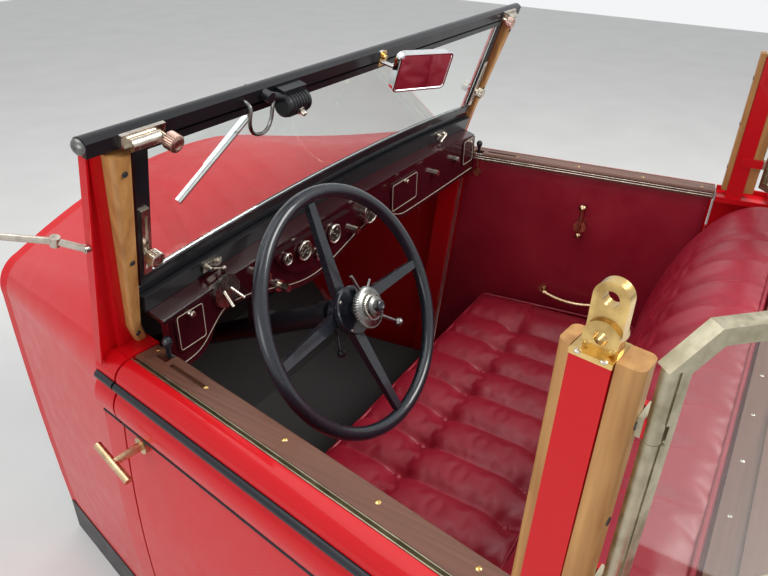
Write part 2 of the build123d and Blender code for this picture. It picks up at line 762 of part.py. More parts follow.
def side_sill():
    """Channel sill under the door and body side, with the rail that runs on under the scuttle."""
    back = sill_out + sill_deep
    top_web = sill_z - steel
    section = outline((-back, 0), (-sill_out, 0), (-sill_out, sill_z), (-back, sill_z), (-back, top_web),
                      (-sill_out - steel, top_web), (-sill_out - steel, steel), (-back, steel))
    rail = SIDE * along_y(section, -60, quarter_end)
    (x0, y0), (x1, y1) = nose_line()
    bar = make_face(Polyline((x0, y0), (x0 + sill_deep, y0), (x1 + sill_deep, y1), (x1, y1), close=True))
    web = sill_deep - steel
    core = make_face(Polyline((x0 - 10, y0 - 10), (x0 + web, y0 - 10), (x1 + web, y1 + 10), (x1 - 10, y1 + 10), close=True))
    return keep_one(rail + along_z(bar, 0, sill_z) - along_z(core, steel, top_web))


def nose_line():
    """Inner edge of the rail under the scuttle, from its front end to the sill."""
    front = (nose_foot() - sill_deep, scuttle_rows[0]["y"] - ledge_deep)
    return front, (front_half - sill_out - sill_deep, front_line_y - 40)


def member_half(y):
    """Half length of a cross member at a place along the car, up to the sills."""
    (x0, y0), (x1, y1) = nose_line()
    if y > y1:
        return inner_half(y, sill_out + sill_deep + seat_gap)
    return x0 + (y - y0) / (y1 - y0) * (x1 - x0) - seat_gap


def cross_members():
    """Channel cross members between the sills; two of them carry the body bolt holes."""
    members = Part()
    for y in cross_ys:
        y0, y1 = y - cross_wide / 2, y + cross_wide / 2
        a, b = member_half(y0), member_half(y1)
        plan = make_face(Polyline((-a, y0), (a, y0), (b, y1), (-b, y1), close=True))
        core = along_x(outline((y0 + steel, steel), (y1 - steel, steel), (y1 - steel, floor_z + 1),
                               (y0 + steel, floor_z + 1)), -front_half - 100, front_half + 100)
        member = along_z(plan, 0, floor_z) - core
        if abs(y) == bolt_y:
            for x in (-bolt_x, bolt_x):
                member -= rod((x, y, -5), (x, y, steel + 5), bolt_r)
        members += member
    return members


# Dash
def s_edge(a, b):
    """An S of two equal arcs, level at both ends."""
    middle = ((a[0] + b[0]) / 2, (a[1] + b[1]) / 2)
    way = 1 if b[0] > a[0] else -1
    first = TangentArc(a, middle, tangent=(way, 0))
    second = TangentArc(b, middle, tangent=(-way, 0))
    return [first, second]


def dashboard():
    """Panel with an S-curved lower edge and its top shelf under the base bar."""
    humps = [(525, dash_low), (430, 866), (190, dash_low), (-45, 853), (-190, dash_low)]
    dash_half = pillar_inner(base_low) - dash_gap
    edges = [Line((dash_half, dash_low), humps[0])]
    for a, b in zip(humps, humps[1:]):
        edges += s_edge(a, b)
    end_z = 909.0
    edges += [
        Line(humps[-1], (-dash_half, dash_low)),
        Line((-dash_half, dash_low), (-dash_half, end_z)),
        ThreePointArc((-dash_half, end_z), (0, end_z + arch), (dash_half, end_z)),
        Line((dash_half, end_z), (dash_half, dash_low)),
    ]
    panel = along_y(make_face(edges), dash_y - dash_half_thick, dash_y + dash_half_thick)
    shelf = SCREEN * arch_bar(base_low - 9, base_low - seat_gap, -pillar_front, 52, 6)
    lids = Part()
    for x0, x1 in ((490, 556), (-236, -112), (-556, -490)):
        lid = Pos((x0 + x1) / 2, 0, 0) * make_face(RectangleRounded(x1 - x0, 74, 12).edges())
        plane = Plane(origin=(0, dash_y + dash_half_thick + 3, 878), x_dir=(1, 0, 0), z_dir=(0, -1, 0))
        lids += extrude(plane * lid, amount=4)
    return keep_one(panel + shelf + lids)


def instrument_panel():
    """Raised half-oval panel with the bezels of its dials."""
    face = dash_y + dash_half_thick + seat_gap
    half = outline((oval_x - oval_half, oval_z), ((oval_x, oval_z - oval_drop), (oval_x + oval_half, oval_z)))
    panel = along_y(half, face, face + 7)
    for dx, dz, r in ((40, -22, 20), (-60, -26, 20), (92, -18, 12), (-8, -52, 12)):
        panel += rod((oval_x + dx, face + 4, oval_z + dz), (oval_x + dx, face + 12, oval_z + dz), r)
    return keep_one(panel)


def dash_controls():
    """Clock, switch plate with two levers, and knobs on the dash."""
    face = dash_y + dash_half_thick + seat_gap
    pieces = [
        rod((-5, face, 892), (-5, face + 14, 892), 27),
        rod((438, face, 905), (438, face + 7, 905), 30) + rod((430, face + 5, 908), (418, face + 24, 888), 3)
        + rod((446, face + 5, 908), (446, face + 24, 884), 3),
        rod((350, face, 895), (350, face + 22, 895), 9) + rod((350, face, 895), (350, face + 4, 895), 14),
        rod((48, face, 866), (48, face + 16, 866), 9),
        rod((300, face, 848), (300, face + 26, 848), 7) + rod((300, face, 848), (300, face + 4, 848), 12),
        rod((-320, face, 880), (-320, face + 16, 880), 8),
        rod((-440, face, 880), (-440, face + 16, 880), 8),
    ]
    return Part() + [keep_one(piece) for piece in pieces]


# Steering
def wheel_rim():
    return keep_one(COLUMN * Torus(rim_r, rim_tube))


def wheel_spider():
    """Four tapered spokes dished down to the hub, its plate, and the hollow shaft under it."""
    reach = rim_r - rim_tube - seat_gap
    profile = outline(
        (18, -hub_low + 4), (18, -hub_low + 18), ((95, -8), (reach, 5)), (reach, -6),
        ((95, -22), (40, -hub_low + 3)),
    )
    plan = make_face(Polyline((10, -spoke_wide / 2), (reach + 5, -spoke_tip / 2), (reach + 5, spoke_tip / 2),
                              (10, spoke_wide / 2), close=True))
    spoke = along_y(profile, -spoke_wide, spoke_wide) & along_z(plan, -80, 40)
    hub = rod((0, 0, -hub_low), (0, 0, -1), hub_r)
    plate = rod((0, 0, -hub_plate_thick), (0, 0, 0), hub_plate_r)
    boss = rod((0, 0, -hub_low - 14), (0, 0, -hub_low + 1), 20)
    shaft = rod((0, 0, -hub_low), (0, 0, -shaft_end + shaft_end_long), shaft_r)
    shaft += rod((0, 0, -hub_low), (0, 0, -shaft_end), shaft_end_r)
    spider = hub + plate + boss + shaft
    for turn in range(4):
        spider += Rot(0, 0, 90 * turn) * spoke
    spider -= rod((0, 0, 20), (0, 0, -shaft_end - 1), tube_r + shaft_play)
    return keep_one(COLUMN * spider)


def steering_column():
    """Column jacket with end bushes, the bracket under the dash, and a ball-ended lever at its top."""
    top = hub_low + 14 + shut_gap
    jacket = rod((0, 0, -top), (0, 0, -column_long), jacket_r)
    jacket += rod((0, 0, -top), (0, 0, -top - 24), jacket_r + 4)
    clip = rod((0, 0, -216), (0, 0, -250), jacket_r + 6)
    lever_z = -top - 10
    lever = rod((0, 40, lever_z), (12, 72, lever_z), 3.2) + rod((0, 18, lever_z), (0, 42, lever_z), 4.5)
    lever += Pos(12, 74, lever_z) * Sphere(8)
    column = COLUMN * (jacket + clip + lever)
    x = wheel_centre[0]
    bracket = block(x - 16, x + 16, dash_y - 28, dash_y - dash_half_thick - seat_gap, 770, 862)
    bracket -= COLUMN * rod((0, 0, -150), (0, 0, -400), jacket_r - 3)
    column += bracket
    column -= COLUMN * rod((0, 0, -top + 5), (0, 0, -column_long - 5), shaft_r + shaft_play)
    column -= COLUMN * rod((0, 0, -top - 30), (0, 0, -column_long + 30), jacket_r - 3)
    return keep_one(column)


def hub_controls():
    """Fixed control head above the hub: toothed quadrant, stepped dome, levers and their long tube."""
    base = 27.0
    steps = ((35, base, base + 6), (23, base + 5, base + 13), (18, base + 12, base + 20), (10, base + 19, base + 30))
    head = rod((0, 0, shut_gap), (0, 0, base + 1), 15)
    for radius, low, high in steps:
        head += rod((0, 0, low), (0, 0, high), radius)
    head += rod((0, 0, base + 2), (0, 0, -shaft_end - 6), tube_r)
    sector = rod((0, 0, shut_gap), (0, 0, shut_gap + 4), 37) - block(-12, 60, -60, 60, 0, 20)
    head += sector
    level = base + 3
    for start, end, thick in (((-17, 22), (-54, 56), 3.0), ((3, -30), (12, -64), 3.0), ((-12, -26), (-28, -40), 2.5)):
        head += rod((*start, level), (*end, level + 3), thick)
    head += Pos(-55, 57, level + 3) * Sphere(8)
    return keep_one(COLUMN * head)


def pedals():
    """Three pads on arms that come up through the toe board."""
    pieces = []
    board = along_x(toe_outline(seat_gap), 0, 800)
    for dx, high in ((-95, 70), (-10, 95), (95, 95)):
        x = wheel_centre[0] + dx
        foot = (x, -490.0, 240.0)
        knee = (x, -428.0, 250.0 + high)
        arm = rod(foot, knee, 8) - board
        arm = arm.solids().sort_by(Axis.Z)[-1]
        pad = Pos(*knee) * Rot(52, 0, 0) * Box(58, 66, 12)
        pieces.append(keep_one(arm + pad))
    return Part() + pieces


# Seat and partition
def inner_half(y, inset):
    """Half width inside the body at a place along the car."""
    skin = front_half + (y - front_line_y) / side_run * (rear_half - front_half)
    return skin - inset / math.cos(math.radians(side_turn))


def wedge(y0, y1, inset):
    """Plan of something that fills the body's width from y0 to y1."""
    a, b = inner_half(y0, inset), inner_half(y1, inset)
    return make_face(Polyline((-a, y0), (a, y0), (b, y1), (-b, y1), close=True))


def seat_base():
    y0, y1 = seat_front + 40, seat_back_y + 150
    low = floor_z + floor_thick + seat_gap
    board = 18.0
    inset = seat_side + 10
    box = along_z(wedge(y0, y1, inset), low, cushion_low - seat_gap)
    hollow = wedge(y0 + board, y1 - board, inset + board)
    return keep_one(box - along_z(hollow, low - 1, cushion_low - board))


def seat_cushion():
    pad = along_z(wedge(seat_front, seat_back_y, seat_side), cushion_low, cushion_top)
    return keep_one(fillet(pad.faces().sort_by(Axis.Z)[-1].edges(), 30))


def seat_back():
    """Wedge-shaped squab that rolls over to the partition capping."""
    back = partition_y - seat_gap
    side_view = outline(
        (seat_back_y + 6, cushion_low), (seat_back_y + 6, cushion_top),
        ((576, 600), (632, 755)),
        ((700, 838), (back - 20, belt_z - 4)),
        (back, belt_z - 16),
        (back, cushion_low),
    )
    return keep_one(along_x(side_view, -800, 800) & along_z(wedge(seat_back_y, back + 5, seat_side), 0, 1000))


def partition():
    """Wall behind the seat, framed and recessed on its rear face."""
    y0, y1 = partition_y, partition_y + partition_thick
    low = floor_z + seat_gap
    under_rail = belt_z - 2 * rail_thick - seat_gap
    body = along_z(wedge(y0, y1, wall + seat_gap), low, under_rail)
    body += along_z(wedge(y0, y1, rail_in + seat_gap), under_rail, belt_z - rail_thick - seat_gap)
    for sign in (-1, 1):
        body -= block(min(sign * 30, sign * 620), max(sign * 30, sign * 620), y1 - 40, y1 + 5, 190, 770)
    return keep_one(body)


def partition_capping():
    """Maroon strip, brass channel and brown rail along the top of the partition."""
    y0, y1 = partition_y, partition_y + partition_thick
    seat = belt_z - rail_thick
    profile = outline((y0, seat), (y0, belt_z - 2), (y0 + 26, belt_z), (y0 + 26, belt_z - 4), (y0 + 34, belt_z - 4),
                      (y0 + 34, belt_z + 2), (y1 - 6, belt_z + 2), ((y1 - 1, belt_z - 1), (y1 + 2, belt_z - 8)),
                      (y1 + 2, seat))
    plan = wedge(y0 - 5, y1 + 5, rail_in + seat_gap)
    return keep_one(along_x(profile, -800, 800) & along_z(plan, 0, 1000))


# Hinged wings
wing_axis = (SIDE * Location((wing_axis_in, post_y + wing_axis_back, belt_z))).position
WING = Location(wing_axis, (0, 0, wing_turn))


def wing_outline(inset):
    """Outline of the wing with its upper front corner cut off, set in evenly from its edge."""
    near, far = inset - wing_bar / 2, wing_wide - inset
    low, high = wing_low + inset, wing_high - inset
    corner = (math.sqrt(2) - 1) * inset
    return outline((near, low), (far, low), (far, high), (wing_corner - wing_bar / 2 + corner, high),
                   (near, wing_high - wing_corner - corner))


def wing_frame():
    """Brass frame whose round upright turns on the eyes of the centre post; it runs back from there."""
    t = wing_bar / 2
    upright_top = wing_high - wing_corner
    ring = along_x(wing_outline(0), -t, t) - along_x(wing_outline(wing_bar), -t - 1, t + 1)
    ring -= block(-t - 1, t + 1, -t - 1, wing_tube_r / 2, wing_low - 1, upright_top)
    ring += rod((0, 0, wing_low), (0, 0, upright_top + 1), wing_tube_r)
    ring += block(-3, 3, 0, wing_flange, wing_low + 1, upright_top)
    for z in wing_pin_zs:
        ring -= Pos(0, 0, z) * Cylinder(wing_tube_r + 4, 2 * (wing_eye_half + seat_gap))
        ring -= Pos(0, 0, z) * Cylinder(wing_pin_r + wing_pin_play, 2 * (wing_eye_half + wing_pin_long + 1))
    return keep_one(WING * ring)


def wing_glass():
    pane = along_x(wing_outline(wing_bar + seat_gap), -glass_half, glass_half)
    return keep_one(WING * (pane - block(-5, 5, 0, wing_flange + seat_gap, wing_low, wing_high)))


def write(name, piece):
    export_step(piece, os.path.join("parts", name + ".step"))


def build():
    os.makedirs("parts", exist_ok=True)
    center = {
        "cross_members": cross_members(),
        "floor_boards": floor_boards(),
        "bulkhead": bulkhead(),
        "scuttle_panel": scuttle_panel(),
        "base_bar": base_bar(),
        "header_bar": header_bar(),
        "header_brackets": header_brackets(),
        "inner_mirror": inner_mirror(),
        "outer_mirror": outer_mirror(),
        "dashboard": dashboard(),
        "instrument_panel": instrument_panel(),
        "dash_controls": dash_controls(),
        "steering_column": steering_column(),
        "hub_controls": hub_controls(),
        "pedals": pedals(),
        "seat_base": seat_base(),
        "seat_cushion": seat_cushion(),
        "seat_back": seat_back(),
        "partition": partition(),
        "partition_capping": partition_capping(),
        "screen_frame": screen_frame(),
        "screen_glass": screen_glass(),
        "screen_clamps": screen_clamps(),
        "wiper_motor": wiper_motor(),
        "wiper_blade": wiper_blade(),
        "wheel_rim": wheel_rim(),
        "wheel_spider": wheel_spider(),
    }
    strips = [pillar_strip()] + [SIDE * piece for piece in post_strips()]
    center["pillar_strips"] = Part() + strips + [right_hand(piece) for piece in strips]
    lug = SIDE * post_lug()
    center["post_lugs"] = Part() + [lug, right_hand(lug)]
    for name, piece in center.items():
        write(name, piece)
    sides = {
        "side_sill": side_sill(),
        "front_pillar": front_pillar(),
        "quarter_panel": SIDE * quarter_panel(),
        "centre_post": SIDE * upper_post(),
        "door_panel": SIDE * door_panel(),
        "door_lining": SIDE * door_lining(),
        "door_rail": SIDE * door_rail(),
        "door_channel": SIDE * door_channel(),
        "door_hinges": SIDE * door_hinges(),
        "door_fittings": SIDE * door_fittings(),
        "wing_frame": wing_frame(),
        "wing_glass": wing_glass(),
    }
    for name, piece in sides.items():
        write(name + "_left", piece)
        write(name + "_right", right_hand(piece))


build()
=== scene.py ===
# %% [markdown]
# # Front compartment of a vintage open car
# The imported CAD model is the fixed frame: sills, doors, screen, wheel and seat stand where
# they were built. This script gives each surface its finish and adds what is too soft or too
# fine for CAD: buttoned leather, screws, knurled knobs, dials, rubber strips and trim.

# %% Load the frame
import bmesh
import bpy
import math
from mathutils import Matrix, Vector


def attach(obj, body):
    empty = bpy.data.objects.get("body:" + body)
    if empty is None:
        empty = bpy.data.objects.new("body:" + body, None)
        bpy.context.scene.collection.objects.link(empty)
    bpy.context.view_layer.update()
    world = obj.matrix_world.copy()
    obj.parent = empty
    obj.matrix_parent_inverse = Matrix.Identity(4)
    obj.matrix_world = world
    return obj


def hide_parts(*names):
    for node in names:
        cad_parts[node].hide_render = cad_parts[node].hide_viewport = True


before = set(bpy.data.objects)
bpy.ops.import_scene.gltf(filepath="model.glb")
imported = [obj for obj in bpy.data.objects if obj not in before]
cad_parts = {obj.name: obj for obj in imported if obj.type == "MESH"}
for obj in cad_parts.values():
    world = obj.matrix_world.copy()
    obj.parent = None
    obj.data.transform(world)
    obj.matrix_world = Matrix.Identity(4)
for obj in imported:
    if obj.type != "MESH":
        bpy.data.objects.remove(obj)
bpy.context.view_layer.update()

# %% [markdown]
# ## The slanted places
# Doors lie on a side that turns outward to the rear, the windscreen is raked, and the
# steering column climbs toward the driver. A matrix for each of these lets a new piece be
# modelled straight and square, and then be laid into place in one step.

# %% Frames of the slanted places
def at(x, y, z):
    """A shift to a place, short for the many places below."""
    return Matrix.Translation((x, y, z))


belt = 0.860
side_x, side_y = 0.652, -0.060
side_turn = math.atan2(0.100, 0.700)
screen_rake = math.radians(16.1)
column_tilt = math.radians(27.6 - 90.0)
column_x = 0.335
SIDE = at(side_x, side_y, 0.0) @ Matrix.Rotation(-side_turn, 4, "Z")
SCREEN = at(0.0, -0.065, belt) @ Matrix.Rotation(-screen_rake, 4, "X")
COLUMN = at(column_x, 0.2092, 0.8814) @ Matrix.Rotation(column_tilt, 4, "X")
MIRROR = Matrix.Scale(-1, 4, (1, 0, 0))
sides = (("left", SIDE), ("right", MIRROR @ SIDE))
screen_sides = (("left", SCREEN), ("right", MIRROR @ SCREEN))
print("side turns out", round(math.degrees(side_turn), 2), "degrees")

# %% [markdown]
# ## Camera
# The camera stands where the photographer stood: behind the driver's door, looking down and
# forward. Its place and turns came from matching the wheel, screen and doors with the picture.
# Building the matrix from three directions keeps the small roll exact.

# %% Camera
def look_matrix(place, yaw, pitch, roll):
    level = math.cos(pitch)
    forward = Vector((level * math.cos(yaw), level * math.sin(yaw), math.sin(pitch)))
    right = forward.cross(Vector((0, 0, 1))).normalized()
    up = right.cross(forward)
    turned_right = math.cos(roll) * right + math.sin(roll) * up
    turned_up = math.cos(roll) * up - math.sin(roll) * right
    turn = Matrix((turned_right, turned_up, -forward)).transposed().to_4x4()
    return Matrix.Translation(place) @ turn


focal_pixels, photo_pixels = 683.0, 768.0
scene = bpy.context.scene
camera_data = bpy.data.cameras.new("camera")
camera_data.sensor_width = 36.0
camera_data.lens = focal_pixels / photo_pixels * camera_data.sensor_width
camera_data.clip_start = 0.02
camera = bpy.data.objects.new("camera", camera_data)
camera.matrix_world = look_matrix((1.1595, 0.7626, 1.5148), math.radians(211.073),
                                  math.radians(-30.687), math.radians(1.388))
scene.collection.objects.link(camera)
scene.camera = camera
scene.view_settings.view_transform = "Standard"
print("lens", round(camera_data.lens, 2), "mm")

# %% [markdown]
# ## Floor and light
# A pale floor keeps the object's shadow, and a pale world stands in for a studio: bright where
# the camera looks past the object, through its glass or at a reflection, and softer where it
# only lights it. Large lamps give the long soft highlights that show paint and leather curved.

# %% Floor, lamps and world
def area_lamp(name, place, aim, width, height, watts, color=(1, 1, 1)):
    data = bpy.data.lights.new(name, "AREA")
    data.shape = "RECTANGLE"
    data.size = width
    data.size_y = height
    data.energy = watts
    data.color = color
    lamp = bpy.data.objects.new(name, data)
    lamp.location = place
    lamp.rotation_euler = (Vector(aim) - Vector(place)).to_track_quat("-Z", "Y").to_euler()
    scene.collection.objects.link(lamp)


area_lamp("key", (-1.5, 2.6, 3.6), (0.1, 0.2, 0.7), 1.6, 1.6, 105, (1.0, 0.975, 0.94))
area_lamp("sky", (0.8, -1.2, 4.4), (0.0, 0.2, 0.7), 3.6, 3.0, 70)
area_lamp("side", (4.2, 0.4, 2.0), (0.5, 0.2, 0.6), 2.4, 1.6, 36)

world = bpy.data.worlds.new("studio")
scene.world = world
world.use_nodes = True
tree = world.node_tree
light_path = tree.nodes.new("ShaderNodeLightPath")
seen = light_path.outputs["Is Camera Ray"]
for kind in ("Is Transmission Ray", "Is Glossy Ray"):
    either = tree.nodes.new("ShaderNodeMath")
    either.operation = "MAXIMUM"
    tree.links.new(seen, either.inputs[0])
    tree.links.new(light_path.outputs[kind], either.inputs[1])
    seen = either.outputs[0]
strength = tree.nodes.new("ShaderNodeMapRange")
strength.inputs["To Min"].default_value = 0.55
strength.inputs["To Max"].default_value = 1.0
tree.links.new(seen, strength.inputs["Value"])
backdrop = tree.nodes["Background"]
backdrop.inputs["Color"].default_value = (0.90, 0.91, 0.92, 1)
tree.links.new(strength.outputs["Result"], backdrop.inputs["Strength"])

floor_mesh = bmesh.new()
bmesh.ops.create_grid(floor_mesh, x_segments=1, y_segments=1, size=9.0)
floor_data = bpy.data.meshes.new("floor")
floor_mesh.to_mesh(floor_data)
floor = bpy.data.objects.new("floor", floor_data)
scene.collection.objects.link(floor)
print("three lamps and a pale floor")

# %% [markdown]
# ## Ways of making a finish
# Every finish starts from one Principled shader. Values that are the same all over a surface
# are typed into its sockets. What varies, such as mottled colour, uneven polish and small
# bumps, comes from noise read in Object coordinates, so the pattern stays put on the piece.

# %% Material helpers
def new_finish(name, color, roughness, **sockets):
    """A Principled material; sockets are other inputs by name, with _ for a space."""
    material = bpy.data.materials.new(name)
    material.use_nodes = True
    shader = material.node_tree.nodes["Principled BSDF"]
    shader.inputs["Base Color"].default_value = (*color, 1)
    shader.inputs["Roughness"].default_value = roughness
    for key, value in sockets.items():
        shader.inputs[key.replace("_", " ")].default_value = value
    return material


def pattern(material, kind, scale, stretch=(1, 1, 1), turn=(0, 0, 0), detail=3.0):
    """A noise or Voronoi pattern on the object; returns the node."""
    nodes, links = material.node_tree.nodes, material.node_tree.links
    place = nodes.new("ShaderNodeTexCoord")
    mapping = nodes.new("ShaderNodeMapping")
    mapping.inputs["Scale"].default_value = stretch
    mapping.inputs["Rotation"].default_value = turn
    texture = nodes.new("ShaderNodeTex" + kind)
    texture.inputs["Scale"].default_value = scale
    texture.inputs["Detail"].default_value = detail
    links.new(place.outputs["Object"], mapping.inputs["Vector"])
    links.new(mapping.outputs["Vector"], texture.inputs["Vector"])
    return texture


def vary(material, texture, stops, socket="Base Color", output="Fac"):
    """Drives a socket by a texture; stops are (value, colour or grey)."""
    nodes, links = material.node_tree.nodes, material.node_tree.links
    ramp = nodes.new("ShaderNodeValToRGB")
    while len(ramp.color_ramp.elements) < len(stops):
        ramp.color_ramp.elements.new(0.5)
    for element, (position, color) in zip(ramp.color_ramp.elements, stops):
        element.position = position
        element.color = (color, color, color, 1) if isinstance(color, float) else (*color, 1)
    links.new(texture.outputs[output], ramp.inputs["Fac"])
    links.new(ramp.outputs["Color"], nodes["Principled BSDF"].inputs[socket])


def bump(material, texture, depth, strength=1.0, output="Fac"):
    """Adds a bump of a depth in metres; a second one goes on top of the first."""
    nodes, links = material.node_tree.nodes, material.node_tree.links
    node = nodes.new("ShaderNodeBump")
    node.inputs["Strength"].default_value = strength
    node.inputs["Distance"].default_value = depth
    links.new(texture.outputs[output], node.inputs["Height"])
    shader = nodes["Principled BSDF"]
    if shader.inputs["Normal"].links:
        links.new(shader.inputs["Normal"].links[0].from_socket, node.inputs["Normal"])
    links.new(node.outputs["Normal"], shader.inputs["Normal"])


# %% [markdown]
# ## Paint
# The body is deep in glossy red enamel, polished many times. Close up such paint has a faint
# orange-peel skin and a little cloudiness in its colour. A clear coat over the base gives the
# sharp reflection, and two noises, one wide and one very fine, give the cloud and the skin.

# %% Enamels
def enamel(name, color, shade, roughness, coat, peel=0.00001, gloss=0.5):
    material = new_finish(name, color, roughness, Coat_Weight=coat, Coat_Roughness=0.035,
                          Specular_IOR_Level=gloss)
    cloud = pattern(material, "Noise", 5.0, detail=4.0)
    vary(material, cloud, [(0.3, shade), (0.7, color)])
    smears = pattern(material, "Noise", 22.0, detail=6.0)
    vary(material, smears, [(0.35, roughness * 0.9), (0.75, roughness * 1.15)], "Roughness")
    skin = pattern(material, "Noise", 240.0, detail=1.0)
    bump(material, skin, peel)
    return material


red_enamel = enamel("red_enamel", (0.64, 0.004, 0.010), (0.62, 0.004, 0.009), 0.4, 0.32, gloss=0.15)
black_enamel = enamel("black_enamel", (0.008, 0.009, 0.012), (0.013, 0.013, 0.016), 0.35, 0.25,
                      gloss=0.2)
frame_black = enamel("frame_black", (0.020, 0.020, 0.021), (0.025, 0.024, 0.023), 0.55, 0.1, 0.0001)
maroon_lacquer = enamel("maroon_lacquer", (0.040, 0.004, 0.008), (0.026, 0.003, 0.005), 0.25, 0.5,
                        gloss=0.2)
wheel_black = enamel("wheel_black", (0.010, 0.013, 0.020), (0.016, 0.019, 0.027), 0.28, 0.5, gloss=0.3)
print("five enamels made")

# %% [markdown]
# ## Metals
# Old nickel is warm and slightly clouded, brass is polished where hands touch it and brown
# where they don't, and chrome is newer and cold. All metals are the same recipe with other
# numbers: a metal whose colour tarnishes in patches and whose polish is broken by rubbing.

# %% Metals
def old_metal(name, bright, tarnish, roughness, patch=0.45, scale=45.0, pits=0.00008):
    material = new_finish(name, bright, roughness, Metallic=1.0)
    cloud = pattern(material, "Noise", scale, detail=8.0)
    vary(material, cloud, [(patch - 0.15, tarnish), (patch + 0.2, bright)])
    rub = pattern(material, "Noise", scale * 4, stretch=(1, 1, 0.25), detail=5.0)
    vary(material, rub, [(0.3, roughness * 1.9), (0.7, roughness)], "Roughness")
    bump(material, rub, pits)
    return material


nickel = old_metal("nickel", (0.66, 0.61, 0.53), (0.38, 0.33, 0.27), 0.17)
dark_nickel = old_metal("dark_nickel", (0.27, 0.27, 0.26), (0.12, 0.12, 0.115), 0.2)
rosy_bronze = old_metal("rosy_bronze", (0.60, 0.40, 0.33), (0.25, 0.15, 0.12), 0.2)
brass = old_metal("brass", (0.80, 0.56, 0.22), (0.42, 0.27, 0.10), 0.15)
chrome = old_metal("chrome", (0.80, 0.81, 0.82), (0.62, 0.63, 0.64), 0.07, patch=0.35, pits=0.00002)
pale_brass = old_metal("pale_brass", (0.72, 0.54, 0.33), (0.45, 0.31, 0.17), 0.2)
olive_nickel = old_metal("olive_nickel", (0.50, 0.46, 0.34), (0.30, 0.27, 0.18), 0.3, pits=0.00004)
print("seven metals made")

# %% [markdown]
# ## Leather
# The trim is burgundy hide, darker in its pores and rubbed pale red where people sit. Voronoi
# cells about a millimetre wide make the grain, and a slower noise creases it. The same hide
# covers seat, squab and doors, so it is one material.

# %% Leather
leather = new_finish("leather", (0.33, 0.011, 0.030), 0.36, Specular_IOR_Level=0.4)
hide = pattern(leather, "Noise", 7.0, detail=6.0)
vary(leather, hide, [(0.28, (0.28, 0.009, 0.025)), (0.5, (0.33, 0.012, 0.031)),
                     (0.75, (0.38, 0.020, 0.040))])
polish = pattern(leather, "Noise", 30.0, detail=5.0)
vary(leather, polish, [(0.3, 0.30), (0.7, 0.46)], "Roughness")
grain = pattern(leather, "Voronoi", 700.0)
bump(leather, grain, 0.00015, 0.6, "Distance")
crease = pattern(leather, "Noise", 60.0, stretch=(1, 0.5, 1), detail=7.0)
bump(leather, crease, 0.0006, 0.4)
print("leather made")

# %% [markdown]
# ## Wood, cappings, rubber and carpet
# The strips beside the side screens are rubbed ash, streaked along their length. The rail
# cappings are brown and drawn lengthwise, so their noise is stretched along the side they
# lie on; each side needs its own turn. Rubber and carpet are dull, with a fine uneven skin.

# %% Wood, cappings, rubber and carpet
def streaked(name, dark, light, roughness, stretch, turn=0.0, depth=0.0003, scale=14.0, **sockets):
    material = new_finish(name, light, roughness, **sockets)
    fibre = pattern(material, "Noise", scale, stretch, (0, 0, turn), 9.0)
    vary(material, fibre, [(0.3, dark), (0.7, light)])
    vary(material, fibre, [(0.25, roughness * 1.3), (0.75, roughness * 0.8)], "Roughness")
    bump(material, fibre, depth)
    return material


def capping(side, stretch, turn=0.0):
    """Brown board, drawn along one direction, under a thin varnish."""
    return streaked("capping_" + side, (0.120, 0.046, 0.027), (0.175, 0.070, 0.042), 0.42, stretch,
                    turn, 0.00005, Coat_Weight=0.1)


along_side = (14.0, 0.35, 6.0)
tan_wood = streaked("tan_wood", (0.36, 0.16, 0.045), (0.60, 0.32, 0.105), 0.5, (5.0, 5.0, 0.4))
capping_left = capping("left", along_side, side_turn)
capping_right = capping("right", along_side, -side_turn)
capping_cross = capping("cross", (0.35, 14.0, 6.0))
seat_board = streaked("seat_board", (0.10, 0.05, 0.025), (0.24, 0.14, 0.075), 0.6, (0.5, 6.0, 6.0))
rubber = enamel("rubber", (0.010, 0.012, 0.018), (0.017, 0.019, 0.026), 0.38, 0.0, 0.0001, 0.35)
carpet = new_finish("carpet", (0.07, 0.07, 0.068), 0.95, Sheen_Weight=0.3)
tufts = pattern(carpet, "Voronoi", 420.0)
vary(carpet, tufts, [(0.0, (0.10, 0.10, 0.095)), (0.7, (0.022, 0.022, 0.022))], output="Distance")
bump(carpet, tufts, 0.002, 0.9, "Distance")
print("wood, cappings, rubber and carpet made")

# %% [markdown]
# ## Glass and mirror
# Window glass of that age is clear with a green edge. Real thickness is in the CAD panes, so
# plain transmission bends the light correctly. A trace of dust dulls it in patches.

# %% Glass and mirror
glass = new_finish("glass", (0.93, 0.97, 0.95), 0.0, Transmission_Weight=1.0, IOR=1.48)
dust = pattern(glass, "Noise", 9.0, detail=8.0)
vary(glass, dust, [(0.55, 0.0), (0.95, 0.02)], "Roughness")
silvered = old_metal("silvered", (0.90, 0.92, 0.93), (0.84, 0.86, 0.88), 0.02, patch=0.3, pits=0.0)
floor_paint = new_finish("floor_paint", (0.80, 0.80, 0.79), 0.6)
wear = pattern(floor_paint, "Noise", 3.0, detail=5.0)
vary(floor_paint, wear, [(0.3, (0.77, 0.77, 0.76)), (0.7, (0.82, 0.82, 0.81))])
floor.data.materials.append(floor_paint)
print("glass, mirror and floor made")

# %% [markdown]
# ## Dress the CAD nodes
# A node whose shape is right only needs its finish. The table gives the nodes of each finish
# by name, without a side unless the two sides differ, and a node that is in no row shows up in
# the print below.

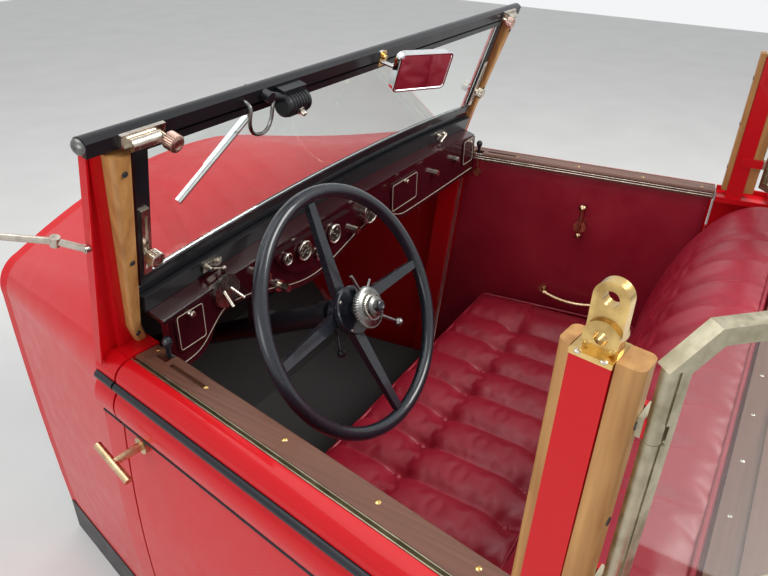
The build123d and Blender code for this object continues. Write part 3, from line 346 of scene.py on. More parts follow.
# %% Finishes of the CAD nodes
groups = (
    (red_enamel, "scuttle_panel partition front_pillar quarter_panel centre_post door_panel"),
    (black_enamel, "base_bar header_bar steering_column screen_frame wiper_motor"),
    (frame_black, "cross_members side_sill bulkhead pedals"),
    (maroon_lacquer, "dashboard instrument_panel"),
    (wheel_black, "wheel_rim wheel_spider"),
    (nickel, "header_brackets outer_mirror dash_controls screen_clamps door_hinges"),
    (dark_nickel, "hub_controls"),
    (olive_nickel, "door_channel wing_frame"),
    (chrome, "inner_mirror wiper_blade"),
    (brass, "post_lugs"),
    (pale_brass, "door_fittings"),
    (leather, "seat_cushion seat_back door_lining"),
    (carpet, "floor_boards"),
    (seat_board, "seat_base"),
    (tan_wood, "pillar_strips"),
    (capping_cross, "partition_capping"),
    (capping_left, "door_rail"),
    (capping_right, "door_rail_right"),
    (glass, "screen_glass wing_glass"),
)
finishes = {node: finish for finish, nodes in groups for node in nodes.split()}
for node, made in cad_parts.items():
    sideless = node.removesuffix("_left").removesuffix("_right")
    finish = finishes.get(node, finishes.get(sideless))
    made.data.materials.clear()
    if finish is None:
        print("no finish:", node)
    else:
        made.data.materials.append(finish)
print("dressed", len(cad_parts), "nodes")

# %% [markdown]
# ## Making and placing a piece
# A piece is modelled in a bmesh, moved into place, and only then made an object, so that the
# object itself stays at the origin. Edges sharper than a limit are marked sharp and the rest
# is shaded smooth, which is what a pressed or turned part looks like.


def new_verts(result):
    """The corners that an extrusion made."""
    return [item for item in result["geom"] if isinstance(item, bmesh.types.BMVert)]


def piece(name, bm, material, place=None, body="body", sharp=32.0, replaces=()):
    """Turns a bmesh into a finished piece that rides on a body."""
    if place is not None:
        bmesh.ops.transform(bm, matrix=place, verts=bm.verts)
        if place.determinant() < 0:
            bmesh.ops.reverse_faces(bm, faces=bm.faces)
    for face in bm.faces:
        face.smooth = True
    for edge in bm.edges:
        edge.smooth = len(edge.link_faces) == 2 and edge.calc_face_angle(0.0) < math.radians(sharp)
    mesh = bpy.data.meshes.new(name)
    bm.to_mesh(mesh)
    bm.free()
    mesh.materials.append(material)
    made = bpy.data.objects.new(name, mesh)
    scene.collection.objects.link(made)
    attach(made, body)
    if replaces:
        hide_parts(*replaces)
    # the frame has a leather and a nickel too, so that Blender adds .001 to such a name
    return made


# %% [markdown]
# ## The seat cushion and squab
# Both are buttoned leather over horsehair: pleats run from front to back every eleven
# centimetres, and buttons pull the hide down where creases gather. A flat sheet is dented
# along the pleats and at the buttons, those points are held, and Cloth with pressure fills
# the hide between them, so the creases form by themselves, as they do on the real seat.

# %% The sheet of hide and its dents
pitch = 0.11
steps_per_pleat = 14
step = pitch / steps_per_pleat
half_columns = 74
smooth_half = 0.50
pleat_reach = 0.012
pit_depth, pit_reach, pit_held = 0.017, 0.030, 0.009


def half_width(y, inset=0.090):
    """Half the room between the sides at a place along the car, less an inset."""
    return side_x + (y - side_y) * math.tan(side_turn) - inset / math.cos(side_turn)


def spread(x, y):
    """Keeps the pleats parallel and lets only the last stretch follow the side."""
    edge = half_columns * step
    if abs(x) <= smooth_half:
        return x
    share = (half_width(y) - smooth_half) / (edge - smooth_half)
    return math.copysign(smooth_half + (abs(x) - smooth_half) * share, x)


def pleat_near(x):
    """Distance to the nearest pleat, or None beside the last one."""
    nearest = round(x / pitch) * pitch
    return None if abs(nearest) > smooth_half + 0.01 else abs(x - nearest)


def dent(x, v, rows, depth):
    """How far the hide is pulled in at a point: along the pleats, and deeper at a button."""
    away = pleat_near(x)
    if away is None:
        return 0.0
    pull = depth * math.exp(-(away / pleat_reach) ** 2)
    for row in rows:
        pull += pit_depth * math.exp(-(math.hypot(away, v - row) / pit_reach) ** 2)
    return pull


def held(x, v, rows):
    """Whether the hide is stitched or buttoned down at this point."""
    away = pleat_near(x)
    if away is None:
        return False
    return away < step * 0.4 or any(math.hypot(away, v - row) < pit_held for row in rows)


# %% Blowing the hide up with Cloth
def inflate(made, pins, cap, frames=14, pressure=4.0, spare=-0.018):
    """Cloth with pressure, its movement capped, and the result kept as the piece's mesh."""
    group = made.vertex_groups.new(name="held")
    group.add(pins, 1.0, "REPLACE")
    before = [v.co.copy() for v in made.data.vertices]
    cloth = made.modifiers.new("hide", "CLOTH")
    settings = cloth.settings
    settings.quality = 4
    settings.mass = 0.25
    settings.tension_stiffness = 12.0
    settings.compression_stiffness = 12.0
    settings.shear_stiffness = 6.0
    settings.bending_stiffness = 0.35
    settings.tension_damping = 12.0
    settings.air_damping = 4.0
    settings.shrink_min = spare
    settings.use_pressure = True
    settings.uniform_pressure_force = pressure
    settings.vertex_group_mass = group.name
    settings.effector_weights.gravity = 0.0
    cloth.collision_settings.use_collision = False
    cloth.point_cache.frame_start = 1
    cloth.point_cache.frame_end = frames
    for number in range(1, frames + 1):
        scene.frame_set(number)
    graph = bpy.context.evaluated_depsgraph_get()
    risen = [v.co.copy() for v in made.evaluated_get(graph).data.vertices]
    made.modifiers.remove(cloth)
    scene.frame_set(1)
    for vertex, old, new in zip(made.data.vertices, before, risen):
        move = new - old
        vertex.co = old + move * min(1.0, cap / max(move.length, 1e-9))
    made.vertex_groups.clear()
    return max((new - old).length for new, old in zip(risen, before))


def close_back(made):
    """Smooths the hide by one subdivision, then closes it behind with one flat face."""
    smooth = made.modifiers.new("smooth", "SUBSURF")
    smooth.levels = smooth.render_levels = 1
    bm = bmesh.new()
    bm.from_object(made, bpy.context.evaluated_depsgraph_get())
    made.modifiers.remove(smooth)
    bmesh.ops.contextual_create(bm, geom=[edge for edge in bm.edges if edge.is_boundary])
    for face in bm.faces:
        face.smooth = True
    bm.to_mesh(made.data)
    bm.free()


def hide_piece(name, node, rows_of, place, buttons, depth, close, cap):
    """A hide in place of a CAD node: a dented sheet with side walls, blown up and closed."""
    bm = bmesh.new()
    count = len(rows_of)
    bmesh.ops.create_grid(bm, x_segments=2 * half_columns, y_segments=count - 1, size=1.0)
    pins = []
    for vertex in bm.verts:
        x = round(vertex.co.x * half_columns) * step
        v = rows_of[round((vertex.co.y + 1) / 2 * (count - 1))]
        edge = abs(x) > (half_columns - 0.5) * step or v in (rows_of[0], rows_of[-1])
        if edge or held(x, v, buttons):
            pins.append(vertex)
        vertex.co = place(x, v, 0.0 if edge else dent(x, v, buttons, depth(v)))
    rim = [edge for edge in bm.edges if edge.is_boundary]
    ring = new_verts(bmesh.ops.extrude_edge_only(bm, edges=rim))
    for vertex in ring:
        vertex.co = close(vertex.co)
    middle = place(0.03, rows_of[count // 2], 0.0)
    top = min(bm.faces, key=lambda face: (face.calc_center_median() - middle).length)
    bmesh.ops.recalc_face_normals(bm, faces=bm.faces)
    if top.normal.z - top.normal.y < 0:
        bmesh.ops.reverse_faces(bm, faces=bm.faces)
    bm.verts.index_update()
    held_down = [vertex.index for vertex in pins + ring]
    made = piece(name, bm, leather, sharp=60.0, replaces=(node,))
    print(name, "rose", round(inflate(made, held_down, cap), 4))
    close_back(made)
    return made


# %% The cushion
cushion_top, cushion_low = 0.428, 0.292
cushion_front, cushion_back = 0.063, 0.547
cushion_buttons = (0.242, 0.496)
front_roll, back_roll, side_roll, most_roll = 0.045, 0.030, 0.035, 0.06


def rolled(distance, radius):
    """How far a rounded edge drops at a distance in from it."""
    if distance >= radius:
        return 0.0
    return radius - math.sqrt(radius ** 2 - (radius - distance) ** 2)


def on_cushion(x, y, pull):
    side = half_columns * step - abs(x)
    drop = (rolled(y - cushion_front, front_roll) + rolled(cushion_back - y, back_roll)
            + rolled(side, side_roll))
    return Vector((spread(x, y), y, cushion_top - min(drop, most_roll) - pull))


def cushion_depth(y):
    """The pleats are shallow at the front and deeper toward the back."""
    return 0.008 + 0.006 * min(1.0, (y - cushion_front) / 0.2)


cushion_rows = [cushion_front + (cushion_back - cushion_front) * i / 62 for i in range(63)]
cushion = hide_piece("seat_cushion_hide", "seat_cushion", cushion_rows, on_cushion, cushion_buttons,
                     cushion_depth, lambda co: Vector((co.x, co.y, cushion_low)), cap=0.016)


# %% The squab
def bend(a, b, c, t):
    """A smooth arc from a to c that passes b halfway."""
    control = 2 * b - (a + c) / 2
    return (1 - t) ** 2 * a + 2 * t * (1 - t) * control + t ** 2 * c


squab_line = [Vector((0.556, 0.300 + 0.130 * i / 12)) for i in range(12)]
for count, arc in ((40, ((0.556, 0.430), (0.578, 0.598), (0.634, 0.752))),
                   (24, ((0.634, 0.752), (0.701, 0.834), (0.795, 0.853)))):
    squab_line += [bend(*map(Vector, arc), i / count) for i in range(count)]
squab_line += [Vector((0.795, 0.853)), Vector((0.806, 0.851)), Vector((0.8135, 0.844))]
squab_back = 0.8142


def on_squab(x, v, pull):
    index = round(v * (len(squab_line) - 1))
    here = squab_line[index]
    ahead = squab_line[min(index + 1, len(squab_line) - 1)] - squab_line[max(index - 1, 0)]
    inward = Vector((ahead.y, -ahead.x)).normalized()
    side = half_columns * step - abs(x)
    spot = here + inward * (pull + rolled(side, 0.030) * min(1.0, (squab_back - here.x) / 0.05))
    y = min(spot.x, squab_back)
    return Vector((spread(x, here.x), y, spot.y))


squab_rows = [i / (len(squab_line) - 1) for i in range(len(squab_line))]


def squab_depth(v):
    """Shallow pleats over the shoulder, none at the very top edge."""
    return 0.009 * min(1.0, (1.0 - v) / 0.12)


hide_piece("seat_squab_hide", "seat_back", squab_rows, on_squab, (), squab_depth,
           lambda co: Vector((co.x, squab_back, co.z)), cap=0.012)

# %% [markdown]
# ## Buttons and welts
# Each pit holds a button covered in the same hide, a little dome whose edge disappears into the
# leather. A welt, which is hide sewn round a cord, runs along the upper edges of the cushion
# and squab. A thin tube drawn along a NURBS line makes it.

# %% Round, drawn and tube shapes
def turned(profile, segments=24):
    """Spins a half outline of (radius, height) points round Z."""
    bm = bmesh.new()
    line = [bm.verts.new((radius, 0, height)) for radius, height in profile]
    edges = [bm.edges.new(pair) for pair in zip(line, line[1:])]
    bmesh.ops.spin(bm, geom=line + edges, cent=(0, 0, 0), axis=(0, 0, 1), steps=segments,
                   angle=2 * math.pi, use_merge=True)
    bmesh.ops.remove_doubles(bm, verts=bm.verts, dist=0.000001)
    bmesh.ops.recalc_face_normals(bm, faces=bm.faces)
    return bm


def drawn(section, start, end):
    """Runs a closed section of (x, z) points along Y."""
    bm = bmesh.new()
    face = bm.faces.new([bm.verts.new((x, start, z)) for x, z in section])
    run = bmesh.ops.extrude_face_region(bm, geom=[face])
    bmesh.ops.translate(bm, verts=new_verts(run), vec=(0, end - start, 0))
    bmesh.ops.recalc_face_normals(bm, faces=bm.faces)
    return bm


def add_rod(bm, start, end, radius, tip=None, segments=20):
    """Adds a round bar or cone from one point to another."""
    start, end = Vector(start), Vector(end)
    way = end - start
    place = Matrix.Translation((start + end) / 2) @ way.to_track_quat("Z", "Y").to_matrix().to_4x4()
    bmesh.ops.create_cone(bm, cap_ends=True, segments=segments, radius1=radius,
                          radius2=radius if tip is None else tip, depth=way.length, matrix=place)


def add_mesh(bm, mesh, place):
    """Adds a mesh to a bmesh at a place."""
    known = len(bm.verts)
    bm.from_mesh(mesh)
    bm.verts.ensure_lookup_table()
    bmesh.ops.transform(bm, matrix=place, verts=bm.verts[known:])


def gathered(small, places):
    """Copies a small bmesh to many places in one bmesh."""
    stamp = bpy.data.meshes.new("stamp")
    small.to_mesh(stamp)
    small.free()
    bm = bmesh.new()
    for place in places:
        add_mesh(bm, stamp, place)
    bpy.data.meshes.remove(stamp)
    return bm


def add_curve(bm, curve, place):
    """Adds a curve or a text to a bmesh as a mesh, and removes the curve."""
    holder = bpy.data.objects.new("line", curve)
    mesh = bpy.data.meshes.new_from_object(holder)
    add_mesh(bm, mesh, place)
    bpy.data.objects.remove(holder)
    bpy.data.curves.remove(curve)
    bpy.data.meshes.remove(mesh)


def tube(points, radius, cyclic=False, round_steps=3, along=8):
    """A round tube along a NURBS line, as a bmesh."""
    curve = bpy.data.curves.new("line", "CURVE")
    curve.dimensions = "3D"
    curve.bevel_depth = radius
    curve.bevel_resolution = round_steps
    curve.use_fill_caps = True
    spline = curve.splines.new("NURBS")
    spline.points.add(len(points) - 1)
    for point, place in zip(spline.points, points):
        point.co = (*place, 1)
    spline.use_cyclic_u = cyclic
    spline.order_u = 3
    spline.use_endpoint_u = not cyclic
    spline.resolution_u = along
    bm = bmesh.new()
    add_curve(bm, curve, at(0, 0, 0))
    bmesh.ops.remove_doubles(bm, verts=bm.verts, dist=0.000001)
    bmesh.ops.recalc_face_normals(bm, faces=bm.faces)
    return bm


def near(point, direction=(0, 0, 1)):
    """A place at a point, with its Z axis along a direction."""
    turn = Vector(direction).to_track_quat("Z", "Y").to_matrix().to_4x4()
    return Matrix.Translation(point) @ turn


# %% Buttons on the cushion
button = turned([(0.0, 0.0042), (0.0045, 0.0036), (0.0075, 0.0016), (0.0085, -0.002), (0.0, -0.002)])
columns = [pitch * number for number in range(-4, 5)]
cushion_upper = [vertex.co for vertex in cushion.data.vertices if vertex.co.z > 0.34]
button_places = []
for row in cushion_buttons:
    for column in columns:
        pit = min(cushion_upper, key=lambda co: (co.x - column) ** 2 + (co.y - row) ** 2)
        button_places.append(at(column, row, pit.z + 0.001))
piece("cushion_buttons", gathered(button, button_places), leather)
print(len(button_places), "buttons")

# %% Welts round the cushion and along the squab
welt_z = cushion_top - 0.006
front_y, rear_y = cushion_front + 0.024, cushion_back - 0.015
front_x, rear_x = half_width(front_y) - 0.018, half_width(rear_y) - 0.016
corner_run = 0.03
corners = [(-rear_x, rear_y), (-front_x, front_y), (front_x, front_y), (rear_x, rear_y)]
welt_points = []
for number, (x, y) in enumerate(corners):
    before, after = corners[number - 1], corners[(number + 1) % 4]
    for other in (before, after):
        way = (Vector(other) - Vector((x, y))).normalized() * corner_run
        welt_points.append((x + way.x, y + way.y, welt_z))
    welt_points.insert(-1, (x, y, welt_z))
    welt_points.append(((x + after[0]) / 2, (y + after[1]) / 2, welt_z))
piece("cushion_welt", tube(welt_points, 0.0038, cyclic=True), leather)
ridge = [(x * half_width(0.80) * 0.985 / 3, 0.806, 0.852) for x in range(-3, 4)]
piece("squab_welt", tube(ridge, 0.0036), leather)
print("welts on the cushion and squab")

# %% [markdown]
# ## Painted highlights along the pleats
# Each pleat is folded and stitched, and the fold catches the light as a thin bright line, which
# is painted here as a highlight. The sheet is held along these lines, so a fine tube in a paler,
# glossier hide can follow the same points, a little above the hide.

# %% Painted highlights along the pleats
def joined(parts):
    """Puts several bmeshes together in one."""
    bm = bmesh.new()
    for part in parts:
        mesh = bpy.data.meshes.new("part")
        part.to_mesh(mesh)
        part.free()
        bm.from_mesh(mesh)
        bpy.data.meshes.remove(mesh)
    return bm


def seam_highlight_tubes(rows_of, place, buttons, depth, lift):
    """A fine tube along each pleat, a little above the dented sheet, to carry a painted highlight."""
    tubes = []
    for column in columns:
        line = [place(column, v, dent(column, v, buttons, depth(v))) + Vector(lift) for v in rows_of]
        tubes.append(tube(line, 0.0008, round_steps=1, along=2))
    return joined(tubes)


# the paler, glossier hide of these tubes is painted highlight: the light caught by each stitched fold
painted_seam_highlight = new_finish("painted_seam_highlight", (0.50, 0.06, 0.075), 0.25)
seam_highlight_mottle = pattern(painted_seam_highlight, "Noise", 60.0)
vary(painted_seam_highlight, seam_highlight_mottle, [(0.35, (0.42, 0.04, 0.055)), (0.7, (0.56, 0.10, 0.11))])
piece("cushion_seam_highlights", seam_highlight_tubes(cushion_rows[6:-3:2], on_cushion, cushion_buttons, cushion_depth,
                             (0, 0, 0.0012)), painted_seam_highlight)
piece("squab_seam_highlights", seam_highlight_tubes(squab_rows[12:-5:2], on_squab, (), squab_depth,
                           (0, -0.0009, 0.0009)), painted_seam_highlight)
print(len(columns), "seams on cushion and squab")

# %% [markdown]
# ## Door cards
# Each door is lined with a thin board under wadding and hide. The hide is stretched tight, so
# the card is nearly flat, rolls softly over its edges, and shows faint vertical waves where the
# wadding gives. A grid bent to that shape is enough, because nothing on it is loose.

# %% Door cards
def door_front(z):
    """Front shut line of the door along its side, at a height."""
    return 0.030 - 0.09 * (belt - z)


def door_card(side, place):
    low, high, rear = 0.1315, 0.8450, 0.6850
    back_x = -0.0625
    bm = bmesh.new()
    bmesh.ops.create_grid(bm, x_segments=72, y_segments=64, size=1.0)
    for vertex in bm.verts:
        z = low + (high - low) * (vertex.co.y + 1) / 2
        front = door_front(z) + 0.007
        y = front + (rear - front) * (vertex.co.x + 1) / 2
        edge = min(z - low, high - z, y - front, rear - y)
        swell = 0.0068 + 0.0046 * (1 - math.exp(-edge / 0.008))
        wave = 0.0006 * math.sin(y * 38 + 1.3 * math.sin(z * 9)) * min(1.0, edge / 0.05)
        border = 0.0012 * math.exp(-((edge - 0.024) / 0.0035) ** 2)
        vertex.co = (-0.0623 - swell - wave + border + 0.0006, y, z)
    rim = [edge for edge in bm.edges if edge.is_boundary]
    for vertex in new_verts(bmesh.ops.extrude_edge_only(bm, edges=rim)):
        vertex.co.x = back_x
    bmesh.ops.contextual_create(bm, geom=[edge for edge in bm.edges if edge.is_boundary])
    bmesh.ops.recalc_face_normals(bm, faces=bm.faces)
    card = piece("door_card_" + side, bm, leather, place, "door_" + side, 50.0,
                 replaces=("door_lining_" + side,))


for name, place in sides:
    door_card(name, place)
print("two door cards")

# %% [markdown]
# ## Rubber strips along the sides
# A round black rubber bead lies in the groove under the rolled top, with a flat lip below it,
# and a thin black strip under the lower moulding is painted shadow, the dark gap that the
# moulding shades. All are drawn sections, cut where the door is cut, so that they open with it.

# %% Rubber strips
def oval(x, z, wide, tall, count=14):
    return [(x + wide * math.cos(2 * math.pi * i / count), z + tall * math.sin(2 * math.pi * i / count))
            for i in range(count)]


def side_run(name, section, z):
    """A rubber strip along door, quarter and pillar, on both sides of the car."""
    front = door_front(z)
    runs = (("_door_", front, 0.692), ("_quarter_", 0.697, 0.960),
            ("_pillar_", front - 0.054, front - 0.005))
    for side, place in sides:
        for where, start, end in runs:
            body = "door_" + side if where == "_door_" else "body"
            piece(name + where + side, drawn(section, start, end), rubber, place, body)


side_run("rubber_bead", oval(-0.0030, 0.8185, 0.0068, 0.0075), 0.8185)
side_run("rubber_lip", [(-0.0088, 0.8058), (-0.0022, 0.8058), (-0.0008, 0.8085), (-0.0030, 0.8110),
                        (-0.0088, 0.8115)], 0.8085)
# painted shadow: a black strip where the lower moulding shades the panel just below it
side_run("moulding_shadow_strip", oval(-0.0050, 0.7395, 0.0042, 0.0032, 10), 0.7395)
print("rubber strips along both sides")

# %% [markdown]
# ## Ribs and screws of the capping rails
# The rail's cabin edge is finished with three fine nickel beads, and brass screws with domed
# heads hold it down. One screw head is made once and copied to every place, a habit that keeps
# such a scene light.

# %% Ribs and screws
def screw_head(radius, dome=0.35):
    """A domed slotted head, sunk at its rim."""
    tall, sunk = radius * dome, -radius * 0.4
    bm = turned([(0.0, tall), (radius * 0.45, tall * 0.88), (radius * 0.8, tall * 0.5), (radius, 0.0),
                 (radius, sunk), (0.0, sunk)], 16)
    for offset in (-0.13, 0.13):
        bmesh.ops.bisect_plane(bm, geom=bm.verts[:] + bm.edges[:] + bm.faces[:],
                               plane_co=(0, radius * offset, 0), plane_no=(0, 1, 0))
    slot = [face for face in bm.faces if abs(face.calc_center_median().y) < radius * 0.12
            and face.calc_center_median().z > 0.0 and face.normal.z > 0.3]
    cut = bmesh.ops.extrude_face_region(bm, geom=slot)
    bmesh.ops.translate(bm, verts=new_verts(cut), vec=(0, 0, -tall * 0.8))
    bmesh.ops.delete(bm, geom=slot, context="FACES")
    return bm


for side, place in sides:
    lines = [at(*spot) for spot in ((-0.0850, 0, 0.8565), (-0.0858, 0, 0.8503), (-0.0872, 0, 0.8445))]
    ribs = gathered(drawn(oval(0, 0, 0.0021, 0.0017, 10), 0.032, 0.690), lines)
    piece("rail_ribs_" + side, ribs, nickel, place, "door_" + side)
    spots = [(-0.0765, 0.042), (-0.0680, 0.176), (-0.0683, 0.347), (-0.0687, 0.514), (-0.0700, 0.660)]
    places = [at(x, y, belt) @ Matrix.Rotation(y * 40, 4, "Z") for x, y in spots]
    piece("rail_screws_" + side, gathered(screw_head(0.0042), places), brass, place, "door_" + side)
print("ribs and", len(spots), "screws on each rail")

# %% [markdown]
# ## Screws of the wooden strips and of the rear rail
# The strips beside the windscreen are held by screws sunk well below the wood, so each shows as
# a round hole in shade. A black disc with a small head in its middle is painted shade for that
# hole, without a cut in the CAD strip. The rail behind the seat has small nickel screws along its front
# strip.

# %% Screws of strips and rear rail
def shaded_screw_hole(radius):
    """A dark ring with a small head in the middle, painted shade of a sunk hole, flat enough to lie on
    the wood.
    """
    shares = (0.0, 0.5, 0.55, 0.8, 1.0, 1.08, 1.08, 0.0)
    heights = (0.0006, 0.0005, 0.0002, 0.0003, 0.0009, 0.0002, -0.001, -0.001)
    return turned([(radius * share, height) for share, height in zip(shares, heights)], 20)


strip_spots = ((0.6292, 0.0225, 0.3463), (0.6072, 0.0180, 0.1851), (0.5864, 0.0145, 0.0252))
# these black discs are painted shade: the dark inside the holes that the screws sink into
for side, turn in screen_sides:
    holes = gathered(shaded_screw_hole(0.0042), [near(spot, (0, 1, 0)) for spot in strip_spots])
    piece("strip_screw_shades_" + side, holes, frame_black, turn)
# the same black discs paint the shade of the screw holes in the posts
for side, place in sides:
    post_spots = [near((-0.061 - 0.014 * z / 0.333, y, belt + z), (0, facing, 0))
                  for y, facing in ((0.7055, -1), (0.7795, 1)) for z in (0.06, 0.17, 0.28)]
    piece("post_screw_shades_" + side, gathered(shaded_screw_hole(0.0042), post_spots), frame_black, place)
rear_spots = [at(0.11 * n, 0.8285, belt - 0.0005) for n in range(-5, 6)]
piece("rear_rail_screws", gathered(screw_head(0.0032), rear_spots), nickel)
print("screws in the strips and the rear rail")

# %% [markdown]
# ## Knurled knobs
# The header brackets and the screen clamps are tightened by knurled knobs, rosy bronze above
# and nickel below. A circle whose every other point lies a little deeper, extruded and
# inset to a crown, gives the knurling.

# %% Knurled knobs
def knurled(radius, tall, teeth=26):
    """A knurled cylinder standing on z = 0, with a crowned and dished end."""
    bm = bmesh.new()
    bmesh.ops.create_circle(bm, cap_ends=True, segments=2 * teeth, radius=radius)
    for number, vertex in enumerate(bm.verts):
        vertex.co *= 0.93 if number % 2 else 1.0
    up = bmesh.ops.extrude_face_region(bm, geom=bm.faces[:])
    top = [item for item in up["geom"] if isinstance(item, bmesh.types.BMFace)]
    bmesh.ops.translate(bm, verts=new_verts(up), vec=(0, 0, tall))
    for thickness, depth in ((0.12, 0.10), (0.22, 0.07), (0.10, -0.06), (0.20, -0.05)):
        bmesh.ops.inset_region(bm, faces=top, thickness=thickness * radius, depth=depth * radius,
                               use_even_offset=True)
    bmesh.ops.recalc_face_normals(bm, faces=bm.faces)
    return bm


for side, turn in screen_sides:
    upper, lower = near((0.5650, 0.0298, 0.3825), (0, 1, 0)), near((0.5722, 0.0178, 0.182), (0, 1, 0))
    piece("header_knob_" + side, knurled(0.0128, 0.0150), rosy_bronze, turn @ upper)
    piece("clamp_knob_" + side, knurled(0.0128, 0.0148), nickel, turn @ lower, "windscreen")
print("four knurled knobs")

# %% [markdown]
# ## Driving mirror
# The mirror's case is a pressed shell in chrome with a rolled rim that holds the glass. The CAD
# gives the shell; the rim is a tube along a rounded rectangle and the glass a thin plate, both
# made flat and laid on the face that is turned to the driver.

# %% Driving mirror
def plate(wide, tall, thick, corner):
    """A flat plate with rounded corners, standing on z = 0."""
    bm = bmesh.new()
    bmesh.ops.create_cube(bm, size=1.0)
    bmesh.ops.scale(bm, vec=(wide, tall, thick), verts=bm.verts)
    bmesh.ops.translate(bm, verts=bm.verts, vec=(0, 0, thick / 2))
    upright = [edge for edge in bm.edges if abs(edge.verts[0].co.z - edge.verts[1].co.z) > thick * 0.5]
    bmesh.ops.bevel(bm, geom=upright, offset=corner, segments=6, profile=0.5, affect="EDGES",
                    material=-1)
    return bm


def rounded_line(half_wide, half_tall, corner, z):
    """Control points of a rounded rectangle."""
    points = []
    for sx, sy in ((1, 1), (-1, 1), (-1, -1), (1, -1)):
        first = (sx * half_wide, sy * (half_tall - corner), z)
        last = (sx * (half_wide - corner), sy * half_tall, z)
        middle = (sx * half_wide, sy * half_tall, z)
        points += [first, middle, last] if sx * sy > 0 else [last, middle, first]
    return points


mirror_face = (SCREEN @ at(-0.052, 0.0643, 0.3735) @ Matrix.Rotation(-math.pi / 2, 4, "X")
               @ Matrix.Rotation(math.radians(18), 4, "Y") @ at(0, 0, 0.014))
piece("mirror_glass", plate(0.134, 0.070, 0.0008, 0.013), silvered, mirror_face)
rim = tube(rounded_line(0.0685, 0.0365, 0.017, 0.0), 0.0026, cyclic=True)
piece("mirror_rim", rim, chrome, mirror_face)
clamp = plate(0.020, 0.030, 0.0026, 0.004)
add_rod(clamp, (0, 0.004, 0.002), (0, 0.004, 0.009), 0.0055)
piece("mirror_clamp", clamp, brass, SCREEN @ near((0.023, 0.0183, 0.3890), (0, 1, 0)))
print("mirror glass, rim and clamp")

# %% [markdown]
# ## Wiper
# The blade is a folded chrome channel that grips a thin rubber, hung from a flat arm. Behind
# the header a bent pipe brings the drive to the motor, whose case has cooling ribs and a small
# nickel nut. The channel's section is drawn along the blade that the CAD lays on the glass.

# %% Wiper
blade_start, blade_end = Vector((0.3649, 0, 0.3438)), Vector((0.5010, 0, 0.2370))
blade_way = (blade_end - blade_start).normalized()
blade_across = Vector((0, 1, 0)).cross(blade_way)
BLADE = SCREEN @ Matrix((
    (blade_across.x, blade_way.x, 0, blade_start.x), (0, 0, 1, 0),
    (blade_across.z, blade_way.z, 0, blade_start.z), (0, 0, 0, 1)))
blade_long = (blade_end - blade_start).length
channel = [(-0.0052, -0.0118), (0.0052, -0.0118), (0.0056, -0.0070), (0.0028, -0.0048),
           (-0.0028, -0.0048), (-0.0056, -0.0070)]
lips = [(-0.0013, -0.0052), (0.0013, -0.0052), (0.0005, -0.0029), (-0.0005, -0.0029)]
piece("wiper_channel", drawn(channel, 0.0, blade_long), chrome, BLADE, "windscreen")
piece("wiper_rubber", drawn(lips, -0.001, blade_long + 0.001), rubber, BLADE, "windscreen")
pipe_line = [(0.404, 0.012, 0.390), (0.404, 0.030, 0.391), (0.406, 0.031, 0.360), (0.391, 0.031, 0.338),
             (0.362, 0.031, 0.334), (0.351, 0.030, 0.352), (0.350, 0.027, 0.376), (0.344, 0.023, 0.388)]
piece("wiper_pipe", tube(pipe_line, 0.0031), dark_nickel, SCREEN)
rib = turned([(0.0170, -0.0012), (0.0191, -0.0008), (0.0191, 0.0008), (0.0170, 0.0012)], 36)
rib_places = [near((x, 0.0303, 0.3705), (1, 0, 0)) for x in (0.283, 0.290, 0.297, 0.304, 0.311, 0.318)]
piece("motor_ribs", gathered(rib, rib_places), black_enamel, SCREEN)
nut = turned([(0.0, 0.010), (0.004, 0.010), (0.0048, 0.008), (0.0048, 0.003), (0.0075, 0.002),
              (0.0075, 0.0), (0.0, 0.0)], 12)
piece("motor_nut", nut, nickel, SCREEN @ near((0.3005, 0.0470, 0.3650), (0, 1, -0.3)))
print("wiper channel, rubber, pipe and motor details")

# %% [markdown]
# ## Catches and ends of the windscreen surround
# Two small cast catches on the base bar hold the screen shut, and the header ends in dark
# oval caps. The catches are a plate, a short arm and a ball, all from basic bmesh shapes.

# %% Catches and end caps
catch_spots = {"left": (0.437, 0.0193, 0.097), "right": (0.402, 0.0193, 0.101)}
for side, turn in screen_sides:
    catch = plate(0.044, 0.018, 0.0036, 0.005)
    add_rod(catch, (-0.012, 0.002, 0.002), (-0.012, 0.002, 0.014), 0.0042)
    add_rod(catch, (-0.012, 0.002, 0.011), (0.016, -0.008, 0.015), 0.0030, 0.0022)
    bmesh.ops.create_uvsphere(catch, u_segments=16, v_segments=10, radius=0.0048,
                              matrix=at(0.017, -0.008, 0.015))
    add_rod(catch, (0.013, 0.003, 0.002), (0.013, 0.003, 0.007), 0.0038)
    piece("screen_catch_" + side, catch, nickel, turn @ near(catch_spots[side], (0, 1, 0)))
    cap = bmesh.new()
    bmesh.ops.create_uvsphere(cap, u_segments=28, v_segments=16, radius=1.0)
    bmesh.ops.scale(cap, vec=(0.0075, 0.0128, 0.0108), verts=cap.verts)
    piece("header_cap_" + side, cap, dark_nickel, turn @ at(0.6785, -0.001, 0.3903))
print("two catches and two end caps")

# %% [markdown]
# ## Dials and clock
# The dials are black with pale marks in nickel bezels. Marks and pointers are thin bars copied
# round, and the figures are text turned into mesh, plain numbers without any words.

# %% Dials
dial_white = enamel("dial_white", (0.70, 0.66, 0.54), (0.60, 0.55, 0.42), 0.5, 0.0)
dial_black = enamel("dial_black", (0.010, 0.010, 0.011), (0.018, 0.017, 0.016), 0.4, 0.3)


def figures(texts, radius, size):
    """Numbers laid round a dial, as one bmesh."""
    bm = bmesh.new()
    for number, text in enumerate(texts):
        angle = math.radians(225 - 270 * number / (len(texts) - 1))
        curve = bpy.data.curves.new("figure", "FONT")
        curve.body = text
        curve.size = size
        curve.align_x, curve.align_y = "CENTER", "CENTER"
        curve.extrude = 0.0001
        add_curve(bm, curve, at(radius * math.cos(angle), radius * math.sin(angle), 0.0005))
    return bm


